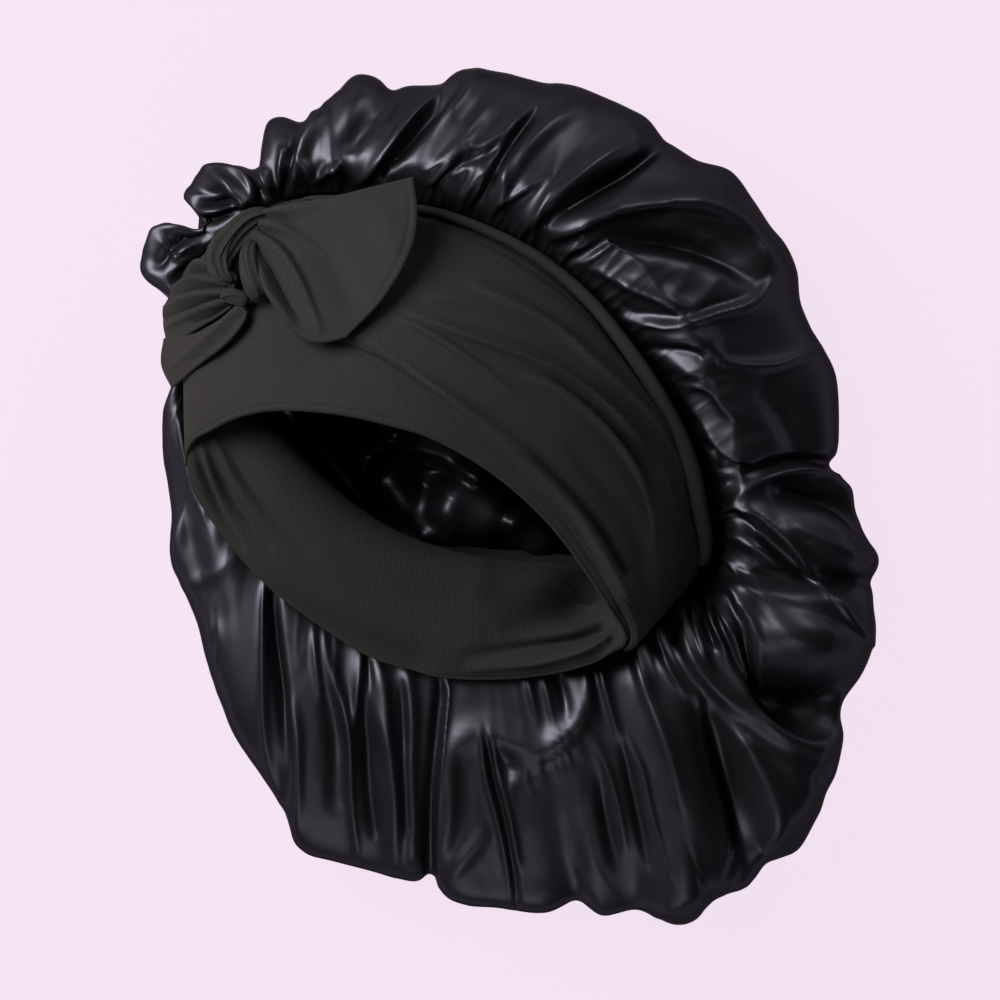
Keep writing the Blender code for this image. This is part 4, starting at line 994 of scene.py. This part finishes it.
band_wall = band_wall - band_out * (band_inner_relief * band_inner_side * ease(band_v * 5))[..., None]
band_thick = band_out * (band_half - hem_groove / 2)[..., None]
band = cloth_wall("band_jersey", "band", band_wall + band_thick, band_wall - band_thick, True)

# ---------------------------------------------------------------- seam roll
# The seam allowance of the band's own jersey, rolled up along the seam round the right of the mouth.
# It fills the groove between band and crown, and is held by the seam's stitches.

ROLL_SECTIONS, ROLL_RINGS, ROLL_SIDES = (-1.6, 9.6), 300, 16
ROLL_RADIUS, GROOVE_SINE = 2.7, 0.35  # mm, and the sine of half the groove's angle where it is narrowest
TIE_GAP = 0.5  # mm of air that each piece of the band's trimming keeps from what it lies on
GATHER_DEPTH = 1.3  # of the satin's gathers, which the roll clears
ROLL_PROUD, ROLL_SHIFT = 4.6, 3.4  # how far it stands out of its groove at the right, and leans to the band
ROLL_SIZES = [1.1, 1.35, 1.4, 1.25, 1.05, 0.92, 0.8, 0.64, 0.5]  # of its radius, from its right end on


def pleat_swell(angle, t, pleats, depth, twist):
    """How far irregular pleats push the skin of a bundle out: a share of its half width."""
    chance = np.random.default_rng(100 + pleats)
    swell = np.zeros(np.broadcast_shapes(angle.shape, t.shape))
    for k in range(pleats):
        centre = (k + chance.uniform(-0.3, 0.3)) * 2 * np.pi / pleats + (twist + chance.normal(0, 0.35)) * t
        gone = (angle - centre + np.pi) % (2 * np.pi) - np.pi
        wide = chance.uniform(0.6, 1.1) * np.pi / pleats * 0.75
        tall = chance.uniform(0.6, 1.3)
        tall = tall * (0.8 + 0.35 * np.sin(chance.uniform(0, 6) + chance.uniform(2, 6) * t))
        swell += tall * crest(gone / wide, 1.6, 0.06, 0.245)
    return depth * (swell - swell.mean())


def tube_piece(name, node, middle, half_across, half_above, sides, pleats=0, depth=0, twist=0, ends=6):
    """A gathered bundle of knit: an oval tube with pleats along it and rounded, closed ends."""
    count = len(middle)
    t = np.linspace(0, 1, count)
    forward = unit(np.gradient(middle, axis=0))
    side = unit(np.cross(forward, UP))
    up = np.cross(side, forward)
    taper = np.sqrt(np.clip(1 - np.abs(2 * t - 1) ** ends, 0.02, 1))
    angle = np.linspace(0, 2 * np.pi, sides, endpoint=False)[None, :]
    swell = 1 + (pleat_swell(angle, t[:, None], pleats, depth, twist) if pleats else 0)
    across = np.cos(angle) * swell * (half_across * taper)[:, None]
    above = np.sin(angle) * swell * (half_above * taper)[:, None]
    points = middle[:, None] + side[:, None] * across[..., None] + up[:, None] * above[..., None]
    way = np.cumsum(np.linalg.norm(np.diff(middle, axis=0, prepend=middle[:1]), axis=1))
    girth = np.broadcast_to(angle * half_across.max(), across.shape)
    uvs = np.stack([girth, np.broadcast_to(way[:, None], girth.shape)], axis=2).reshape(-1, 2)
    faces = []
    for i in range(count - 1):
        for j in range(sides):
            k = (j + 1) % sides
            faces.append((i * sides + j, i * sides + k, (i + 1) * sides + k, (i + 1) * sides + j))
    tips = np.stack([middle[0], middle[-1]])
    for j in range(sides):
        k = (j + 1) % sides
        faces.append((k, j, count * sides))
        faces.append(((count - 1) * sides + j, (count - 1) * sides + k, count * sides + 1))
    points = np.vstack([points.reshape(-1, 3), tips])
    return add_piece(name, points, faces, np.vstack([uvs, uvs[:2]]), knit, node)


roll_u = np.linspace(*ROLL_SECTIONS, ROLL_RINGS)
roll_top = seam(roll_u) + (rim(roll_u) - seam(roll_u)) * column("shoulder", roll_u)[:, None]
to_crown = roll_top - seam(roll_u)
to_crown[:, 2] = (column("shoulder_z", roll_u) - seam(roll_u)[:, 2]) * np.pi / 2
to_crown = unit(to_crown)
to_band = unit(band_middle(roll_u, 0.08) - seam(roll_u))
half_angle = np.arccos(np.clip(np.sum(to_band * to_crown, axis=1), -1, 1)) / 2
roll_away = ROLL_RADIUS + TIE_GAP + KNIT_WALL / 2 + GATHER_DEPTH / 2
roll_away = roll_away / np.maximum(np.sin(half_angle), GROOVE_SINE)
roll_out = ease((5.0 - roll_u) / 3.0)[:, None]
roll_middle = seam(roll_u) + unit(to_band + to_crown) * (roll_away[:, None] + ROLL_PROUD * roll_out)
roll_middle += to_band * ROLL_SHIFT * roll_out
roll_radius = ROLL_RADIUS * along(np.transpose([ROLL_SIZES]), np.linspace(0, 1, ROLL_RINGS))[:, 0]
tube_piece("seam_roll_jersey", "seam_roll", roll_middle, roll_radius, roll_radius, ROLL_SIDES, ends=40)

# ---------------------------------------------------------------- right wrap
# One end of the tie: a wide strip of the band's jersey, sewn in at the right of the mouth.
# It lies over the band in long folds that draw together towards the knot.

# One row for each place along it: the section number, the shares of the band's width between which it
# lies, and how much further it stands off the band, in mm.
Wrap = namedtuple("Wrap", "section low high lift")
WRAP_RIGHT = [
    Wrap(9.9, 0.20, 0.50, 0.8),
    Wrap(9.0, 0.10, 0.66, 0.5),
    Wrap(8.0, 0.075, 0.70, 0.2),
    Wrap(7.0, 0.07, 0.76, 0.0),
    Wrap(6.0, 0.07, 0.84, 0.0),
    Wrap(5.0, 0.07, 0.89, 0.0),
    Wrap(3.5, 0.075, 0.91, 0.0),
    Wrap(2.0, 0.08, 0.92, 0.0),
    Wrap(0.5, 0.095, 0.93, 0.0),
    Wrap(-1.0, 0.11, 0.94, 0.0),
    Wrap(-2.0, 0.16, 0.95, 0.0),
    Wrap(-3.0, 0.34, 0.96, 0.0),
    Wrap(-3.8, 0.62, 0.96, -0.2),
]
TIE_WALL = 1.6
WRAP_ROUND = 0.012  # share of its width in which each of its doubled edges turns over
WRAP_FOLD_DEPTH = 2.3  # scale of the heights below
WRAP_FOLD_ROOM = 2.4  # how far its valleys can sink before they lie on the band
WRAP_FOLDS = [
    soft(8, 5, (405, 298, 0), (440, 303, 0.9), (480, 312, 0.7), (520, 326, 0)),
    crisp(7, 3.5, (460, 284, 0), (502, 305, 1.4), (549, 331, 2.2), (592, 369, 2.6), (639, 412, 2.4),
        (668, 452, 0.8), (684, 490, 0), lean=-1.4),
    soft(5, 5, (480, 284, 0), (530, 303, -1.4), (580, 340, -2), (625, 382, -1.8), (660, 424, -0.8),
        (676, 460, 0)),
    crisp(7, 3.5, (400, 312, 0), (455, 335, 1.8), (528, 361, 2.4), (584, 391, 2.6), (622, 429, 2.4),
        (656, 470, 0.8), (672, 512, 0), lean=-1.4),
    soft(5, 5, (440, 322, 0), (500, 342, -1.6), (560, 368, -2), (606, 402, -1.8), (640, 440, -0.8),
        (658, 480, 0)),
    crisp(6, 4, (392, 320, 0), (420, 332, 1.4), (450, 350, 1.6), (490, 378, 0.8), (520, 402, 0), lean=-0.6),
    crisp(6, 3.5, (520, 376, 0), (562, 397, 1.6), (601, 430, 2.4), (631, 470, 2.4), (646, 510, 1),
        (652, 560, 0), lean=-1.4),
    soft(5, 5, (540, 372, 0), (582, 400, -1.4), (616, 438, -1.8), (640, 480, -1), (650, 530, 0)),
    crisp(5, 3, (362, 345, 0), (410, 372, 1.2), (470, 412, 1.4), (530, 456, 0.6), lean=-0.8),
    soft(7, 4, (566, 334, 0), (606, 366, 1.6), (648, 408, 2), (680, 462, 1), (694, 510, 0), lean=-0.8),
    soft(5, 5, (440, 224, -1), (480, 241, -1.4), (520, 263, -1.4), (560, 291, -1.2), (602, 322, -0.8),
        (636, 352, 0)),
    soft(8, 8, (560, 440, 0), (600, 484, -1.4), (634, 535, -1.4), (640, 590, -0.8), (636, 622, 0)),
    crisp(9, 3, (400, 370, 0), (443, 395, 1.4), (485, 429, 2.2), (528, 463, 2.6), (571, 506, 2.8),
        (601, 553, 2.8), (622, 592, 1.6), lean=-1.2),
    soft(5, 5, (520, 446, 0), (560, 482, -2.2), (596, 526, -2.6), (622, 572, -1.6)),
    soft(6, 6, (500, 452, 0), (540, 490, -1.4), (574, 530, -1.8), (600, 575, -1.2)),
    crisp(5, 3, (478, 467, 0), (507, 486, 1.2), (550, 526, 1.8), (582, 564, 1.8), (604, 598, 1)),
]

wrap_rows = along(WRAP_RIGHT, np.linspace(0, 1, 280))
wrap_t = np.concatenate([
    WRAP_ROUND - WRAP_ROUND * np.cos(np.linspace(0, np.pi / 2, 4)),
    np.linspace(WRAP_ROUND, 1 - WRAP_ROUND, 130)[1:-1],
    1 - WRAP_ROUND + WRAP_ROUND * np.sin(np.linspace(0, np.pi / 2, 4)),
])[None, :]  # fmt: skip
wrap_u = wrap_rows[:, :1] + 0 * wrap_t
wrap_v = wrap_rows[:, 1:2] + (wrap_rows[:, 2:3] - wrap_rows[:, 1:2]) * wrap_t
wrap_out = band_normal(wrap_u, wrap_v)
wrap_lift = KNIT_WALL / 2 + TIE_GAP + TIE_WALL / 2 + wrap_rows[:, 3:4]
wrap_base = band_middle(wrap_u, wrap_v) + wrap_out * wrap_lift[..., None]
wrap_relief, wrap_shift = fold_field(seen(wrap_base), WRAP_FOLDS)
wrap_relief = wrap_relief * WRAP_FOLD_DEPTH
wrap_valleys = -WRAP_FOLD_ROOM * np.tanh(np.maximum(-wrap_relief, 0) / WRAP_FOLD_ROOM)
wrap_fading = ease(wrap_t / 0.08) * ease((1 - wrap_t) / 0.06) + 0 * wrap_u
wrap_relief = (np.maximum(wrap_relief, 0) + wrap_valleys + WRAP_FOLD_ROOM) * wrap_fading
wrap_middle = wrap_base + wrap_out * wrap_relief[..., None] + wrap_shift * wrap_fading[..., None]
wrap_half = TIE_WALL / 2 * hem_profile(wrap_t, WRAP_ROUND) * hem_profile(1 - wrap_t, WRAP_ROUND)
wrap_normal = grid_normals(wrap_middle, False)
wrap_normal = wrap_normal * np.sign(np.sum(wrap_normal * wrap_out, axis=-1, keepdims=True))
wrap_thick = wrap_normal * wrap_half[..., None]
wrap_right = cloth_wall(
    "wrap_right_jersey", "wrap_right", wrap_middle + wrap_thick, wrap_middle - wrap_thick, False
)

# ---------------------------------------------------------------- free ends and left fan
# The tie's two free ends and the fan of its left end: hemmed strips of the same jersey, cut to a point.
# They come out of the knot gathered and lie open on the band and the crown.

TAIL_WALL = 2.0
LEAF_ROUND, LEAF_HEM, LEAF_HEM_WIDTH = 0.025, 0.05, 0.014  # shares of its width, as on the band's hem
LEAF_HEM_DEPTH = 0.35

# Each is a surface between four edges: its upper and lower edge from the knot on, its neck at the knot and
# its far end, both from the upper edge to the lower one. Points are in mm.
Leaf = namedtuple("Leaf", "upper end lower neck")
TAIL_LARGE = Leaf(
    [(-108, 125, 80), (-90, 128, 88), (-73, 131, 92), (-56, 135, 94), (-42, 138, 96)],
    [(-42, 138, 96), (-40, 121, 103), (-43, 104, 109), (-54, 84, 114), (-70, 67, 115)],
    [(-105, 91, 98), (-100, 79, 106), (-92, 69, 110), (-82, 65, 113), (-70, 67, 115)],
    [(-108, 125, 80), (-114, 115, 81), (-112.5, 103, 88), (-105, 91, 98)],
)
TAIL_SMALL = Leaf(
    [(-117.5, 82.4, 94), (-125.5, 76, 92), (-135.5, 71.5, 86), (-145.2, 70, 77), (-153.5, 70, 67)],
    [(-153.5, 70, 67), (-155, 58.5, 66), (-149.5, 47.2, 72)],
    [(-113.5, 79, 97), (-116.5, 72.6, 99), (-123.7, 64.9, 97), (-134, 57.9, 90), (-149.5, 47.2, 72)],
    [(-117.5, 82.4, 94), (-115, 81, 96), (-113.5, 79, 97)],
)
FAN = Leaf(
    [(-119, 95, 86), (-127, 102, 84), (-136, 104, 76), (-143, 100, 68), (-150, 92, 60)],
    [(-150, 92, 60), (-155, 82, 57), (-153, 68, 61)],
    [(-118, 85.5, 88), (-126, 79, 87), (-135, 74, 83), (-145, 69, 74), (-153, 68, 61)],
    [(-119, 95, 86), (-120, 90, 88), (-118, 85.5, 88)],
)
TAIL_LARGE_FOLDS = [
    crisp(8, 5, (250, 243, 2.5), (262, 260, 4.5), (275, 298, 4), (292, 325, 2.5), (302, 342, 1), lean=-1.2),
    soft(5, 5, (256, 244, -2.5), (269, 266, -4.5), (283, 292, -3.5), (299, 318, -1)),
    crisp(6, 7, (258, 236, 2.5), (282, 256, 4), (302, 290, 3.5), (320, 330, 1.5), lean=1),
    soft(5, 5, (258, 230, -2), (276, 240, -2.5), (294, 256, -1.5)),
    crisp(6, 6, (256, 224, 2), (278, 228, 3), (305, 240, 1.5), (325, 256, 0.5)),
    soft(4, 4, (258, 217, -1.5), (280, 218, -1.8), (300, 222, -0.6)),
    soft(5, 5, (260, 212, 1.8), (284, 209, 2), (315, 206, 0.8)),
    soft(15, 15, (300, 232, -1.5), (330, 258, -2.5), (350, 300, -2)),
    soft(16, 16, (345, 205, 1), (380, 215, 2), (395, 245, 1.5)),
]
FAN_FOLDS = [
    crisp(5, 4, (238, 283, 1), (222, 270, 3), (202, 262, 3), (186, 270, 1.5)),
    soft(3.5, 3.5, (236, 285, -1), (218, 276, -2), (196, 272, -2), (178, 284, -1)),
    crisp(4, 4, (236, 287, 1), (216, 281, 3), (192, 280, 3), (170, 292, 1.5)),
    soft(3.5, 3.5, (236, 290, -1), (212, 288, -2.4), (188, 291, -2), (166, 302, -1)),
    crisp(4.5, 4, (236, 292, 1), (212, 293, 3), (188, 298, 3), (165, 310, 1.5)),
    soft(3.5, 3.5, (236, 295, -1), (214, 300, -2.4), (190, 308, -2), (166, 319, -1)),
    crisp(5, 4, (238, 298, 1), (214, 305, 3), (192, 315, 3), (168, 327, 1.5)),
    soft(3.5, 3.5, (238, 301, -1), (218, 312, -2), (196, 323, -1.5)),
]
TAIL_SMALL_FOLDS = [
    crisp(5, 5, (240, 310, 1.5), (220, 328, 2), (195, 350, 1.5), (172, 368, 0.5)),
    soft(4, 4, (242, 316, -1), (222, 338, -1.4), (196, 360, -1)),
]


def leaf_grid(leaf, length_points, width_points):
    """The surface between a leaf's four edges, with the shares of its length and width."""
    s = np.linspace(0, 1, length_points)[:, None, None]
    t = np.linspace(0, 1, width_points)[None, :, None]
    top, bottom = along(leaf.upper, s[:, 0, 0])[:, None], along(leaf.lower, s[:, 0, 0])[:, None]
    near, far = along(leaf.neck, t[0, :, 0])[None], along(leaf.end, t[0, :, 0])[None]
    corners = (1 - s) * ((1 - t) * top[:1] + t * bottom[:1]) + s * ((1 - t) * top[-1:] + t * bottom[-1:])
    return top * (1 - t) + bottom * t + near * (1 - s) + far * s - corners, s[..., 0], t[..., 0]


def upward_normals(grid):
    """Normals of an open grid, turned to point up."""
    normals = grid_normals(grid, False)
    return normals * np.sign(normals[..., 2:])


def leaf_piece(name, node, leaf, length_points, width_points, folds):
    """A tie end with folds that run along it, and edges turned round."""
    grid, s, t = leaf_grid(leaf, length_points, width_points)
    relief, shift = fold_field(seen(grid), folds)
    fading = ease((1 - s) / 0.08) * ease((1 - t) / 0.05) * ease(t / 0.05)
    grid = grid + upward_normals(grid) * (relief * fading)[..., None] + shift * fading[..., None]
    from_edge = np.minimum(np.minimum(t, 1 - t) * np.ones_like(s), (1 - s) * np.ones_like(t))
    thin = np.sqrt(np.clip(1 - (1 - np.clip(from_edge / LEAF_ROUND, 0, 1)) ** 2, 0.01, 1))
    hem_line = LEAF_HEM_DEPTH * np.exp(-(((from_edge - LEAF_HEM) / LEAF_HEM_WIDTH) ** 2))
    thick = upward_normals(grid) * (TAIL_WALL / 2 * thin - hem_line * ease(s / 0.3))[..., None]
    outer, inner = grid + thick, grid - thick
    if grid_normals(grid, False)[length_points // 2, width_points // 2, 2] < 0:
        outer, inner = inner, outer
    return cloth_wall(name, node, outer, inner, False)


tail_large = leaf_piece("tail_large_jersey", "tail_large", TAIL_LARGE, 110, 110, TAIL_LARGE_FOLDS)
tail_small = leaf_piece("tail_small_jersey", "tail_small", TAIL_SMALL, 60, 50, TAIL_SMALL_FOLDS)
wrap_left = leaf_piece("wrap_left_jersey", "wrap_left", FAN, 60, 60, FAN_FOLDS)

# ---------------------------------------------------------------- knot
# Where the two ends cross: a loop of gathered jersey, the ear that turns back over the crown, and the
# short bar that binds them. They are the same strip, pleated and pulled tight.

Bundle = namedtuple("Bundle", "x y z half_width half_height")  # a place along it, and its size there
KNOT_EAR = [
    Bundle(-104, 124, 77, 5.0, 4.5),
    Bundle(-114, 120, 80, 6.0, 5.5),
    Bundle(-122.5, 112, 81, 6.5, 6.0),
    Bundle(-127, 104, 82, 6.5, 6.0),
    Bundle(-125.5, 96.5, 86, 4.5, 4.5),
    Bundle(-121, 92.5, 89, 3.2, 3.2),
]
KNOT_LOOP = [
    Bundle(-112, 111, 82, 3.2, 3.0),
    Bundle(-113.5, 106, 88, 4.0, 4.0),
    Bundle(-113, 99, 94, 4.4, 4.4),
    Bundle(-111, 91, 98, 4.2, 4.0),
    Bundle(-108, 85, 99, 3.4, 3.0),
]
KNOT_BAR = [
    Bundle(-125.5, 87.5, 90, 2.4, 2.6),
    Bundle(-120.5, 86.5, 94, 3.2, 3.4),
    Bundle(-116, 85, 96, 3.2, 3.4),
    Bundle(-113.3, 83.5, 96, 2.6, 2.6),
]


def bundle_piece(name, node, bundle, rings, sides, pleats, depth, twist):
    """A pleated bundle along its places, which turns by twist from end to end."""
    path = along(bundle, np.linspace(0, 1, rings))
    return tube_piece(name, node, path[:, :3], path[:, 3], path[:, 4], sides, pleats, depth, twist)


bundle_piece("knot_ear_jersey", "knot_ear", KNOT_EAR, 110, 160, pleats=17, depth=0.20, twist=0.7)
bundle_piece("knot_jersey", "knot", KNOT_LOOP, 90, 120, pleats=12, depth=0.20, twist=0.9)
bundle_piece("knot_bar_jersey", "knot_bar", KNOT_BAR, 60, 90, pleats=7, depth=0.24, twist=1.2)
